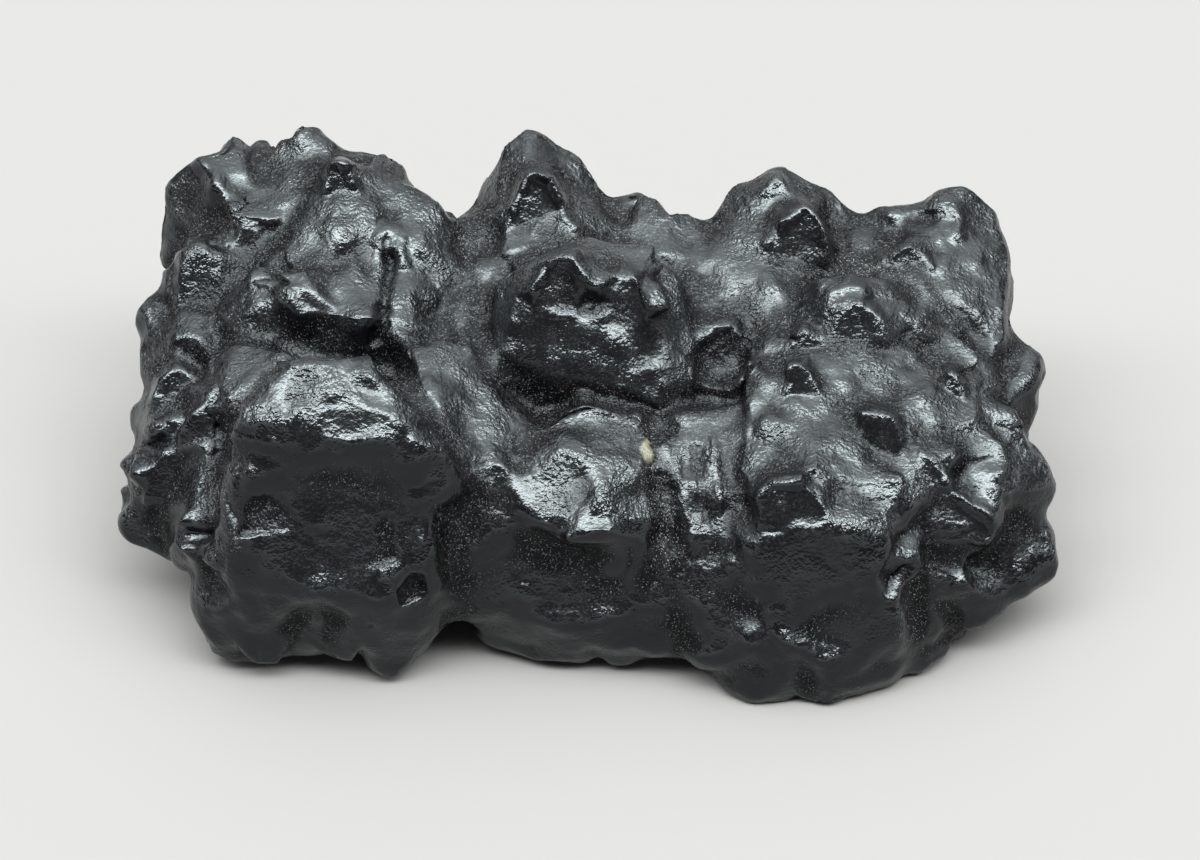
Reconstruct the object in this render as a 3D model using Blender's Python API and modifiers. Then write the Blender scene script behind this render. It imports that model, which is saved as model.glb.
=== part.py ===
# A prophecy stone: a dark iron-oxide concretion of many crystal knobs, worn smooth and grown as one piece.
# Metres, +Z up, +X along the stone, the front towards -Y, standing on its feet at Z = 0.

import math
import random

import bmesh
import bpy
import numpy as np
from mathutils import Vector, noise

MM = 0.001

# Driving sizes, in millimetres
VIEW_TILT = math.radians(40)
TOWARD_EYE = (0, -math.cos(VIEW_TILT), math.sin(VIEW_TILT))
CENTRE = (0.0, -3.0, 12.8)
BALL_STEPS = 2
VOXEL = 0.42
CREASE_FILLET = 0.8
SHRINK_BACK = 0.66
SMOOTH_PASSES = 3
POLISH_PASSES = 1
TRIANGLES_KEPT = 0.108
FLOOR_BLOCK = (90.0, 60.0, 10.0)

# How the worn skin sways sideways and wanders in and out: over what length, and by how much
SWAY = ((4.0, 0.45), (1.7, 0.2))
WANDER = ((6.0, 0.4), (3.0, 0.36), (1.5, 0.2))
EDGE_UNEVENNESS = ((1.7, 0.45), (0.7, 0.16))
LEVEL_CALM = 0.35
CALM_FADE = 0.5
CALM_UNDERNEATH = 0.4
CALM_OUTLINE = 0.35

# How facets, ledges and ridges are cut
FACING_FADE = 0.35
LEVEL_REACH = 0.45
LEVEL_DEPTH = 1.1
CARVE_DEPTH = 2.4
FACET_SOLID = 1.7
FACET_FALL = 1.4
LEDGE_EDGE = 0.6
LEDGE_FOOT = 0.3

# Sides that the front view hides: turn and tilt in degrees, half width and half height, and count of facets
HIDDEN_SIDES = (
    (180, 15, (25.0, 10.0), 55),
    (-90, 5, (13.0, 10.0), 22),
    (90, 5, (13.0, 10.0), 22),
    (0, -85, (25.0, 13.0), 45),
)
# The facets strewn over those sides, as half sizes and slopes, and the brow over each
STREWN_WIDTHS = (0.8, 2.2)
STREWN_HEIGHTS = (0.7, 1.6)
STREWN_SLOPES = (-0.6, 0.4)
STREWN_LEANS = (-0.4, 0.4)
BROW_LEANS = (-1, 1)
BROW_HEIGHTS = (-0.35, 0.4)
BROW_HALF_WIDTH = 0.5

# Every knob is a hull round worn corners. Each corner is (across, rise, near, radius) in millimetres, as the
# stone is seen from VIEW_TILT above its front: across to the right, rise up the view, near towards the eye.
# The last corner of each knob is its root, buried in the body.
FRONT_KNOBS = {
    "back left corner": [
        (-23.6, 15.2, -6.9, 0.5), (-21.6, 15.3, -7.2, 0.6), (-22.6, 13.8, -6.2, 0.5),
        (-21.3, 12.0, -5.6, 0.5), (-25.2, 13.6, -8.2, 0.6), (-25.4, 9.6, -9.0, 0.8),
        (-24.2, 10.8, -7.5, 0.7), (-22.2, 10.6, -6.4, 0.6), (-20.4, 12.6, -5.8, 0.6),
        (-20.0, 9.0, -11.0, 3.0),
    ],
    "left hollow floor": [
        (-21.4, 10.4, -5.8, 1.0), (-19.8, 9.4, -5.0, 1.1), (-21.0, 7.8, -4.6, 1.1),
        (-20.0, 6.8, -3.6, 1.0), (-22.0, 6.6, -4.4, 1.0), (-20.0, 8.0, -9.0, 3.0),
    ],
    "back left nub": [
        (-21.3, 15.5, -8.4, 0.8), (-20.4, 15.7, -8.5, 0.9), (-19.2, 15.6, -8.5, 0.8),
        (-19.5, 12.0, -11.0, 2.0),
    ],
    "back left pyramid": [
        (-17.3, 16.9, -7.2, 0.7), (-19.4, 15.3, -7.4, 0.5), (-14.9, 15.2, -7.6, 0.7),
        (-17.2, 13.4, -5.6, 0.9), (-18.4, 11.6, -5.0, 1.0), (-19.6, 10.6, -5.0, 1.0),
        (-17.4, 11.0, -11.0, 3.0),
    ],
    "lump behind the dome": [
        (-14.0, 15.3, -7.2, 0.9), (-12.4, 14.8, -7.4, 0.9), (-11.6, 13.6, -7.0, 1.0),
        (-13.0, 10.0, -10.0, 3.0),
    ],
    "dome": [
        (-15.0, 14.9, -4.6, 0.7), (-15.4, 13.4, -3.8, 0.8), (-16.6, 12.0, -3.8, 0.9),
        (-17.8, 10.0, -3.2, 1.0), (-19.2, 8.0, -2.8, 1.0), (-11.6, 13.0, -4.8, 1.0),
        (-10.2, 12.0, -4.6, 1.2), (-9.2, 10.4, -4.0, 1.2), (-8.6, 8.0, -3.2, 1.0), (-9.4, 6.0, -2.0, 0.9),
        (-12.4, 9.5, -2.8, 1.4), (-12.0, 5.9, -0.1, 0.5), (-13.4, 6.1, 0.3, 0.5), (-15.2, 6.2, 0.4, 0.5),
        (-16.9, 6.0, 0.0, 0.5), (-12.4, 3.4, -1.6, 0.8), (-16.0, 3.4, -1.6, 0.8), (-9.8, 3.6, -0.6, 0.9),
        (-18.6, 5.0, -1.6, 0.8), (-13.5, 5.0, -9.0, 3.6),
    ],
    "dome ledge": [
        (-17.1, 8.2, -0.2, 0.4), (-18.1, 6.9, 0.2, 0.4), (-17.4, 6.2, 0.5, 0.4), (-15.8, 6.8, 0.4, 0.4),
        (-15.0, 6.0, 0.5, 0.4), (-16.4, 7.4, 0.2, 0.4), (-16.4, 6.0, -5.0, 2.0),
    ],
    "valley behind the saddle": [
        (-7.4, 11.0, -6.6, 1.4), (-6.6, 8.6, -5.0, 1.4), (-6.4, 5.6, -2.6, 1.3), (-7.6, 3.4, -0.6, 1.3),
        (-5.4, 11.2, -6.6, 1.2), (-6.5, 6.0, -10.0, 3.0),
    ],
    "left saddle lump": [
        (-20.4, 6.6, -1.9, 0.7), (-18.4, 6.4, -1.6, 0.7), (-18.2, 4.8, -1.2, 0.7), (-20.8, 4.8, -1.6, 0.8),
        (-19.6, 4.2, -1.2, 0.7), (-21.6, 6.0, -2.6, 0.8), (-19.4, 7.8, -1.9, 0.8), (-18.3, 7.2, -1.1, 0.6),
        (-19.0, 4.0, -5.0, 3.0),
    ],
    "left saddle slope": [
        (-20.8, 3.4, 0.2, 0.8), (-18.6, 2.8, 1.4, 0.8), (-21.0, 0.8, 2.4, 0.9), (-22.0, 2.4, -0.6, 0.8),
        (-19.8, 0.0, -2.0, 3.0),
    ],
    "left column top": [
        (-23.7, 10.2, -3.9, 0.5), (-25.2, 9.2, -4.6, 0.5), (-25.3, 7.4, -4.6, 0.6),
        (-22.4, 9.0, -4.0, 0.5), (-22.2, 7.2, -4.0, 0.6), (-23.6, 6.6, -4.2, 0.6), (-22.0, 7.0, -8.0, 2.5),
    ],
    "left side knob": [(-26.2, 6.0, -5.4, 1.3), (-25.8, 4.6, -4.6, 1.2), (-23.0, 6.0, -8.0, 2.0)],
    "left knob upper": [
        (-24.2, 5.6, -3.2, 0.7), (-23.4, 5.5, -3.0, 0.7), (-24.6, 4.4, -2.8, 0.7), (-23.2, 4.2, -2.4, 0.8),
        (-22.0, 5.0, -6.0, 2.0),
    ],
    "left knob middle": [
        (-25.4, 3.6, -3.6, 0.8), (-24.4, 3.2, -2.8, 0.8), (-25.8, 2.0, -3.2, 0.8), (-24.6, 1.6, -2.4, 0.8),
        (-26.6, 3.0, -4.6, 0.8), (-22.0, 2.0, -7.0, 3.0),
    ],
    "left knob lower": [
        (-25.6, 1.2, -2.4, 0.8), (-23.8, 1.2, -1.4, 0.8), (-26.0, -0.8, -1.8, 0.9),
        (-23.8, -0.8, -0.6, 0.9), (-27.0, -0.2, -3.6, 1.0), (-22.0, 0.0, -6.0, 3.0),
    ],
    "lower left lump": [
        (-26.2, -2.4, -1.6, 0.7), (-24.0, -2.8, -0.4, 0.7), (-27.4, -3.2, -3.0, 1.0),
        (-27.2, -6.4, -3.0, 1.2), (-25.0, -7.4, -2.6, 1.1), (-23.6, -7.6, -2.4, 1.0),
        (-24.2, -5.2, -1.0, 1.2), (-26.2, -4.6, -1.6, 1.2), (-22.0, -3.0, -7.0, 3.0),
    ],
    "left crack hollow": [
        (-23.2, 0.6, -0.4, 1.0), (-24.2, -2.4, 0.0, 0.9), (-22.4, -3.0, 1.6, 1.2), (-22.6, -5.6, 1.9, 1.2),
        (-24.2, -5.6, -0.2, 1.2), (-24.0, -8.2, -0.4, 1.3), (-22.6, -8.6, 1.5, 1.3),
        (-22.2, 0.4, 1.4, 1.0), (-21.0, -3.0, -4.0, 3.0),
    ],
    "front left block": [
        (-17.4, 2.6, 7.75, 0.5), (-15.0, 2.9, 7.65, 0.5), (-13.2, 2.3, 7.75, 0.5), (-18.4, 1.6, 7.7, 0.6),
        (-19.8, 0.0, 7.4, 0.7), (-20.8, -1.6, 6.9, 0.7), (-18.2, 0.2, 8.4, 0.5), (-15.6, 0.6, 8.45, 0.5),
        (-12.6, 0.4, 8.35, 0.5), (-10.6, -0.6, 7.2, 0.7), (-19.6, -1.5, 8.0, 0.6), (-17.6, -1.3, 8.5, 0.5),
        (-16.2, -1.9, 8.7, 0.5), (-14.6, -1.3, 8.5, 0.5), (-12.8, -1.6, 8.4, 0.6), (-10.8, -1.7, 7.9, 0.7),
        (-9.2, -2.9, 7.1, 0.7), (-8.2, -4.0, 6.4, 0.8), (-20.6, -5.0, 6.0, 1.2), (-17.0, -4.6, 7.2, 1.2),
        (-11.0, -5.0, 6.8, 1.2), (-15.0, -2.6, -3.0, 4.5),
    ],
    "block waist": [
        (-20.4, -6.6, 5.6, 1.4), (-17.6, -6.0, 6.8, 1.2), (-14.0, -6.2, 6.8, 1.2), (-10.6, -7.0, 5.8, 1.4),
        (-20.2, -9.2, 3.4, 1.6), (-10.0, -9.4, 3.6, 1.5), (-15.0, -10.0, 4.0, 1.5),
        (-15.0, -4.0, -3.0, 5.0),
    ],
    "left foot": [
        (-22.4, -9.6, 1.0, 1.4), (-22.6, -11.4, 0.6, 1.3), (-21.2, -13.4, -1.0, 1.4),
        (-18.5, -13.2, -0.4, 1.5), (-19.0, -10.0, 3.0, 1.8), (-18.0, -8.0, -5.0, 3.0),
    ],
    "tooth foot": [
        (-12.2, -13.9, -0.6, 1.6), (-14.0, -12.2, 1.6, 1.3), (-10.0, -12.0, 1.4, 1.3),
        (-12.4, -9.8, 4.2, 1.5), (-9.0, -9.6, 2.2, 1.5), (-12.0, -8.0, -5.0, 3.0),
    ],
    "lump between the feet": [
        (-16.2, -11.2, 2.2, 1.4), (-17.6, -13.2, -0.4, 1.3), (-15.6, -13.0, 0.0, 1.3),
        (-16.0, -9.0, -3.0, 3.0),
    ],
    "back middle knob": [
        (-3.3, 16.2, -6.8, 0.9), (-4.6, 15.5, -6.8, 0.9), (-1.7, 15.4, -6.8, 0.9), (-0.4, 13.8, -7.0, 0.8),
        (-6.2, 12.6, -7.2, 0.8), (-3.3, 15.0, -5.4, 0.5), (-4.6, 13.8, -5.3, 0.5), (-2.0, 13.8, -5.3, 0.5),
        (-5.4, 11.6, -4.8, 0.6), (-0.9, 11.4, -4.8, 0.6), (-3.2, 9.0, -10.0, 3.5),
    ],
    "back middle lobe": [
        (-3.2, 14.3, -5.0, 0.4), (-3.9, 12.8, -4.6, 0.5), (-2.5, 12.8, -4.6, 0.5), (-4.8, 11.0, -4.3, 0.6),
        (-1.4, 11.0, -4.3, 0.6), (-4.6, 9.6, -3.6, 0.8), (-1.4, 9.6, -3.4, 0.8), (-3.2, 9.0, -9.0, 3.0),
    ],
    "back middle valley": [
        (-6.0, 12.0, -6.7, 0.9), (-5.8, 10.0, -5.4, 1.0), (-6.2, 8.0, -4.2, 1.0), (-0.4, 11.4, -5.8, 1.1),
        (1.0, 11.2, -6.0, 1.1), (0.4, 10.2, -4.8, 1.0), (-0.5, 9.6, -4.2, 1.0), (0.5, 8.0, -10.0, 3.0),
    ],
    "back middle bump": [
        (2.0, 12.6, -7.4, 0.9), (3.0, 12.5, -7.4, 0.9), (0.8, 12.6, -7.6, 0.9), (2.0, 9.0, -10.0, 2.5),
    ],
    "back plateau": [
        (3.0, 11.2, -5.8, 0.8), (5.4, 11.0, -5.8, 0.8), (7.2, 10.8, -6.0, 0.8), (1.0, 10.2, -5.0, 0.8),
        (4.2, 9.0, -4.4, 0.9), (7.0, 8.6, -4.2, 0.9), (4.0, 7.0, -9.0, 3.0),
    ],
    "big knob": [
        (-4.7, 7.7, 0.2, 0.7), (-2.8, 8.9, 0.4, 0.6), (0.0, 9.8, -0.4, 0.7), (2.6, 9.2, -0.4, 0.8),
        (4.2, 8.1, -0.4, 0.8), (5.2, 6.0, -0.4, 0.8), (-2.8, 8.7, 1.9, 0.4), (-1.2, 9.2, 1.9, 0.4),
        (-4.0, 6.8, 1.8, 0.5), (-0.4, 8.4, 2.3, 0.4), (2.6, 8.1, 1.9, 0.4), (3.2, 6.9, 1.8, 0.5),
        (-4.6, 4.0, 0.9, 1.0), (-2.0, 1.8, 0.2, 1.2), (1.6, 1.0, 0.4, 1.2), (3.6, 0.6, 0.4, 1.1),
        (5.6, 1.6, -0.2, 1.0), (0.0, 4.0, -6.0, 4.5),
    ],
    "dusty plateau": [
        (5.8, 8.0, -3.2, 0.6), (6.8, 6.4, -2.4, 0.6), (9.0, 6.8, -2.8, 0.7), (10.2, 7.6, -3.4, 0.8),
        (8.0, 9.0, -4.2, 0.9), (8.0, 6.0, -8.0, 3.0),
    ],
    "little beak": [
        (7.2, 5.0, -1.2, 0.6), (8.4, 5.2, -1.2, 0.6), (8.8, 4.4, -1.4, 0.6), (7.4, 4.2, -1.2, 0.5),
        (8.0, 5.0, -5.0, 2.0),
    ],
    "beak hollow": [
        (7.4, 3.4, -2.4, 1.2), (9.4, 3.4, -2.2, 1.2), (8.4, 1.4, -1.2, 1.2), (6.6, 1.4, -1.0, 1.0),
        (8.0, 2.0, -6.0, 3.0),
    ],
    "saddle": [
        (-10.4, 3.4, 2.0, 0.9), (-7.6, 3.2, 1.2, 0.9), (-9.0, 0.6, 4.2, 0.9), (-6.2, 0.0, 3.2, 0.9),
        (-8.4, -2.4, 5.4, 0.8), (-7.4, -3.6, 5.4, 0.7), (-5.0, -2.4, 4.4, 0.8), (-4.0, -1.1, 2.6, 0.8),
        (-6.0, -2.4, -4.0, 3.6),
    ],
    "saddle knob": [
        (-6.6, -2.6, 4.9, 0.5), (-5.4, -2.5, 4.7, 0.5), (-6.0, -4.4, 5.0, 0.7), (-6.0, -3.0, 0.0, 2.0),
    ],
    "under the prow": [
        (-2.4, -8.6, 3.6, 1.3), (1.4, -8.6, 4.0, 1.3), (-2.2, -10.8, 1.6, 1.6), (2.0, -10.8, 1.8, 1.6),
        (0.0, -6.0, -4.0, 4.0),
    ],
    "middle underside": [
        (-5.6, -12.6, -1.6, 1.5), (-3.0, -13.2, -1.4, 1.5), (0.6, -13.2, -0.8, 1.6),
        (4.0, -13.0, 0.0, 1.6), (7.0, -12.6, 0.0, 1.6), (-2.0, -11.0, 2.0, 1.5), (4.0, -11.0, 2.0, 1.5),
        (0.0, -8.0, -4.0, 4.0),
    ],
    "front recess": [
        (-7.4, -5.4, 4.2, 1.1), (-5.4, -6.0, 4.2, 1.1), (-7.8, -8.6, 2.6, 1.4), (-4.0, -8.4, 3.2, 1.4),
        (-6.8, -11.0, 0.4, 1.6), (-6.0, -6.0, -5.0, 4.0),
    ],
    "lump by the crevice": [
        (5.4, -0.9, 1.8, 0.9), (7.4, -0.5, 1.0, 0.9), (6.0, -3.0, 3.2, 0.8), (5.8, -4.0, 3.8, 0.8),
        (7.6, -5.4, 4.0, 0.8), (8.6, -2.6, 2.8, 0.9), (6.0, -7.0, 3.7, 0.9), (7.8, -7.4, 3.8, 1.0),
        (6.4, -3.0, -3.0, 3.0),
    ],
    "crevice foot lump": [
        (7.2, -8.4, 3.6, 0.9), (8.4, -9.0, 3.5, 1.1), (6.4, -9.8, 2.9, 1.2), (7.6, -11.8, 2.2, 1.5),
        (9.2, -12.4, 2.2, 1.6), (6.4, -7.0, -2.0, 3.0),
    ],
    "back right knob": [
        (11.3, 14.1, -6.4, 0.9), (9.6, 13.2, -6.6, 1.0), (8.6, 11.8, -6.4, 0.9), (14.2, 12.8, -6.8, 0.9),
        (15.4, 11.2, -6.8, 0.8), (11.2, 12.6, -4.8, 0.7), (9.0, 10.2, -4.8, 1.0), (10.6, 9.0, -3.8, 0.9),
        (12.0, 8.0, -10.0, 3.5),
    ],
    "back right lobe": [
        (13.0, 12.4, -4.8, 0.5), (12.4, 10.6, -4.6, 0.6), (14.0, 10.6, -4.7, 0.6), (12.0, 8.8, -3.8, 0.8),
        (14.0, 8.9, -4.2, 0.8), (12.0, 7.4, -2.8, 0.8), (10.6, 8.6, -3.8, 0.8), (12.0, 8.0, -8.0, 3.0),
    ],
    "back right slope": [
        (10.0, 10.4, -5.0, 1.0), (10.0, 8.0, -3.6, 1.0), (10.8, 5.8, -2.0, 0.9), (11.8, 4.8, -1.2, 0.9),
        (9.6, 5.6, -2.4, 0.9), (11.0, 7.0, -9.0, 3.0),
    ],
    "back right valley": [
        (16.2, 10.8, -7.0, 1.1), (15.6, 8.8, -4.6, 1.2), (17.0, 8.2, -4.2, 1.2), (18.4, 8.6, -4.6, 1.2),
        (14.6, 7.8, -3.6, 1.0), (19.0, 7.6, -3.7, 1.0), (19.8, 6.4, -2.8, 1.0), (20.6, 4.4, -1.8, 1.0),
        (19.0, 5.0, -1.2, 0.9), (17.0, 7.0, -10.0, 3.0),
    ],
    "back right corner": [
        (22.6, 12.8, -6.6, 0.9), (20.4, 12.3, -6.6, 0.8), (18.0, 11.4, -6.8, 0.8), (24.0, 11.8, -6.8, 0.9),
        (24.4, 10.4, -6.8, 0.9), (24.2, 6.2, -5.6, 0.9), (21.9, 11.4, -5.2, 0.7), (19.8, 10.9, -5.4, 0.7),
        (22.8, 9.6, -4.7, 0.7), (23.0, 6.8, -3.4, 0.8), (23.8, 4.6, -3.0, 0.9), (21.0, 7.4, -3.3, 0.9),
        (21.0, 7.0, -9.0, 3.5),
    ],
    "back right eyebrow": [
        (19.7, 10.2, -4.3, 0.45), (18.6, 9.8, -4.5, 0.45), (20.2, 9.6, -4.2, 0.45), (19.6, 8.7, -4.0, 0.6),
        (18.6, 8.6, -4.2, 0.6), (20.6, 8.3, -3.9, 0.6), (19.5, 7.5, -7.5, 2.0),
    ],
    "right crown": [
        (12.8, 5.6, -1.0, 0.7), (14.0, 7.4, -1.4, 0.8), (15.4, 7.6, -1.2, 0.7), (17.4, 7.2, -1.4, 0.8),
        (18.8, 6.0, -1.4, 0.7), (16.3, 6.9, -0.3, 0.4), (14.8, 6.2, 0.0, 0.5), (17.7, 6.0, -0.2, 0.5),
        (14.6, 5.0, 0.4, 0.5), (17.9, 4.9, 0.1, 0.5), (16.2, 4.3, 0.3, 0.6), (16.0, 4.0, -6.0, 3.5),
    ],
    "right body": [
        (10.6, 3.6, 0.2, 1.0), (11.4, 1.8, 1.2, 1.1), (10.0, -0.6, 2.6, 1.1), (9.8, -3.2, 4.2, 0.9),
        (15.0, 3.4, 0.0, 1.2), (18.6, 3.2, -0.6, 1.2), (20.6, 1.0, 0.4, 1.3), (21.0, -1.6, 1.6, 1.2),
        (19.6, -4.2, 3.4, 1.0), (16.5, -4.2, 4.8, 0.8), (12.0, -3.6, 5.2, 0.7), (13.6, -3.2, 5.2, 0.7),
        (13.0, -3.0, -4.0, 4.2),
    ],
    "lower terrace": [
        (15.6, -5.0, 5.3, 0.8), (18.4, -5.2, 4.6, 0.8), (20.0, -4.6, 3.3, 0.8), (16.6, -8.0, 4.2, 1.2),
        (19.0, -8.4, 3.0, 1.2), (17.0, -4.4, -3.0, 3.6),
    ],
    "crown ledge": [
        (10.0, -3.7, 4.8, 0.6), (11.0, -3.8, 5.5, 0.5), (12.0, -4.3, 5.9, 0.5), (13.2, -3.5, 5.7, 0.45),
        (13.8, -4.3, 5.6, 0.45), (10.2, -5.2, 5.2, 0.6), (13.2, -5.3, 5.6, 0.6), (12.0, -4.4, 0.0, 3.0),
    ],
    "right face": [
        (9.4, -6.6, 4.2, 1.1), (13.8, -6.8, 4.8, 1.1), (16.2, -7.4, 4.2, 1.2), (9.2, -9.8, 3.0, 1.5),
        (12.0, -10.4, 4.0, 1.5), (15.6, -9.8, 3.4, 1.4), (12.8, -12.8, 3.0, 1.6), (10.2, -13.6, 1.8, 1.6),
        (12.0, -7.0, -3.0, 4.0),
    ],
    "low fill": [
        (9.6, -11.4, 2.6, 1.5), (7.4, -13.0, 0.6, 1.5), (16.8, -9.6, 3.8, 1.4), (17.6, -12.4, 1.8, 1.6),
        (14.0, -12.6, 2.6, 1.6), (12.0, -7.0, -3.0, 4.0),
    ],
    "right crease": [
        (19.4, -6.4, 2.8, 1.1), (19.6, -9.0, 2.0, 1.1), (19.8, -11.6, 0.6, 1.2), (19.0, -8.0, -4.0, 3.0),
    ],
    "speckled bump": [(21.6, -2.6, 3.0, 0.8), (20.6, -3.0, 3.4, 0.7), (21.0, -3.0, -3.0, 3.0)],
    "right shoulder": [
        (20.6, 7.2, -3.0, 0.5), (22.6, 4.4, -2.4, 0.5), (23.6, 2.0, -1.6, 0.9), (22.0, 1.0, 0.0, 0.9),
        (22.0, 3.0, -6.0, 3.0),
    ],
    "shoulder fill": [
        (22.4, 0.4, 0.0, 1.3), (23.4, -1.8, 0.2, 1.3), (21.8, -2.8, 1.8, 1.2), (21.0, -2.0, -5.0, 3.0),
    ],
    "right side knob": [
        (26.2, 2.6, -4.0, 1.2), (26.4, 1.2, -4.0, 1.1), (25.9, -1.0, -3.6, 1.0), (25.0, 3.4, -4.6, 1.0),
        (24.6, 1.0, -2.6, 1.2), (22.0, 1.0, -8.0, 3.0),
    ],
    "right side lump": [
        (26.2, -3.0, -0.6, 1.2), (26.7, -4.5, -1.0, 1.1), (26.2, -6.0, -1.0, 1.2), (24.4, -1.6, 0.2, 1.0),
        (24.6, -4.4, 1.6, 0.9), (22.0, -3.0, -5.0, 3.0),
    ],
    "wedge": [
        (21.8, -4.0, 2.8, 0.5), (23.8, -6.2, 2.2, 0.6), (24.4, -4.4, 1.2, 0.7), (20.4, -6.6, 3.0, 0.8),
        (23.0, -7.6, 1.8, 0.8), (21.0, -5.0, -3.0, 3.0),
    ],
    "bump by the wedge": [
        (20.0, -2.0, 2.6, 0.7), (21.0, -2.2, 2.2, 0.6), (20.2, -3.6, 2.8, 0.7), (20.5, -2.0, -2.0, 2.0),
    ],
    "low right lump": [
        (24.0, -10.9, -1.4, 1.2), (22.2, -11.8, -1.2, 1.2), (21.6, -9.4, 1.2, 1.3),
        (21.0, -9.0, -5.0, 2.4),
    ],
    "bright bump": [(17.8, -10.2, 3.6, 0.8), (17.2, -10.4, 3.8, 0.8), (17.6, -9.0, 0.0, 2.0)],
    "right foot": [
        (18.2, -13.8, 0.4, 1.3), (17.4, -15.2, 0.0, 1.2), (14.8, -15.8, 1.0, 1.3), (13.6, -12.8, 3.2, 1.5),
        (17.0, -12.0, 2.4, 1.4), (14.6, -9.6, -3.6, 3.0),
    ],
    "right foot inner": [
        (11.2, -15.6, 0.6, 1.4), (9.0, -15.6, 0.4, 1.4), (9.6, -12.8, 2.2, 1.5), (12.2, -12.8, 2.8, 1.4),
        (10.4, -9.6, -3.4, 2.8),
    ],
    "foot behind": [(20.4, -13.8, -1.8, 1.0), (19.6, -14.6, -1.1, 0.9), (19.0, -10.0, -4.0, 2.2)],
    "lump left of the right foot": [(7.6, -13.6, 1.4, 1.6), (9.6, -13.0, 2.6, 1.5), (8.0, -9.4, -3.6, 2.6)],
    "prow": [
        (-2.0, -1.8, 4.2, 0.5), (-0.6, -2.5, 4.9, 0.5), (0.4, -4.0, 5.7, 0.5), (0.9, -5.4, 6.2, 0.5),
        (0.9, -6.5, 6.4, 0.5), (-4.0, -2.8, 4.2, 0.8), (-4.5, -4.5, 4.8, 0.6), (-3.6, -5.7, 5.4, 0.5),
        (-1.4, -6.9, 6.3, 0.5), (2.6, -3.4, 4.4, 0.8), (2.8, -6.0, 4.6, 0.8), (2.6, -7.6, 4.4, 0.8),
        (2.2, -1.3, 2.6, 0.9), (-0.5, -1.1, 2.4, 0.9), (-0.5, -3.6, -3.0, 3.6),
    ],
    "crevice floor": [
        (3.8, -2.6, 3.4, 0.7), (4.4, -6.0, 3.6, 0.8), (4.6, -8.8, 3.0, 1.0), (4.8, -11.0, 2.0, 1.3),
        (4.5, -6.0, -4.0, 3.0),
    ],
    "far right knob": [
        (26.8, -7.8, -1.7, 1.1), (27.0, -9.0, -1.7, 1.1), (26.2, -5.8, -2.2, 1.1), (25.0, -5.4, -0.6, 1.2),
        (25.6, -9.7, -1.0, 1.2), (24.6, -8.0, 0.0, 1.2), (22.0, -7.0, -6.0, 3.0),
    ],
    "foot behind fill": [(19.6, -12.6, 0.2, 1.3), (20.2, -11.0, 0.6, 1.2), (19.0, -9.0, -3.0, 2.0)],
}

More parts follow.
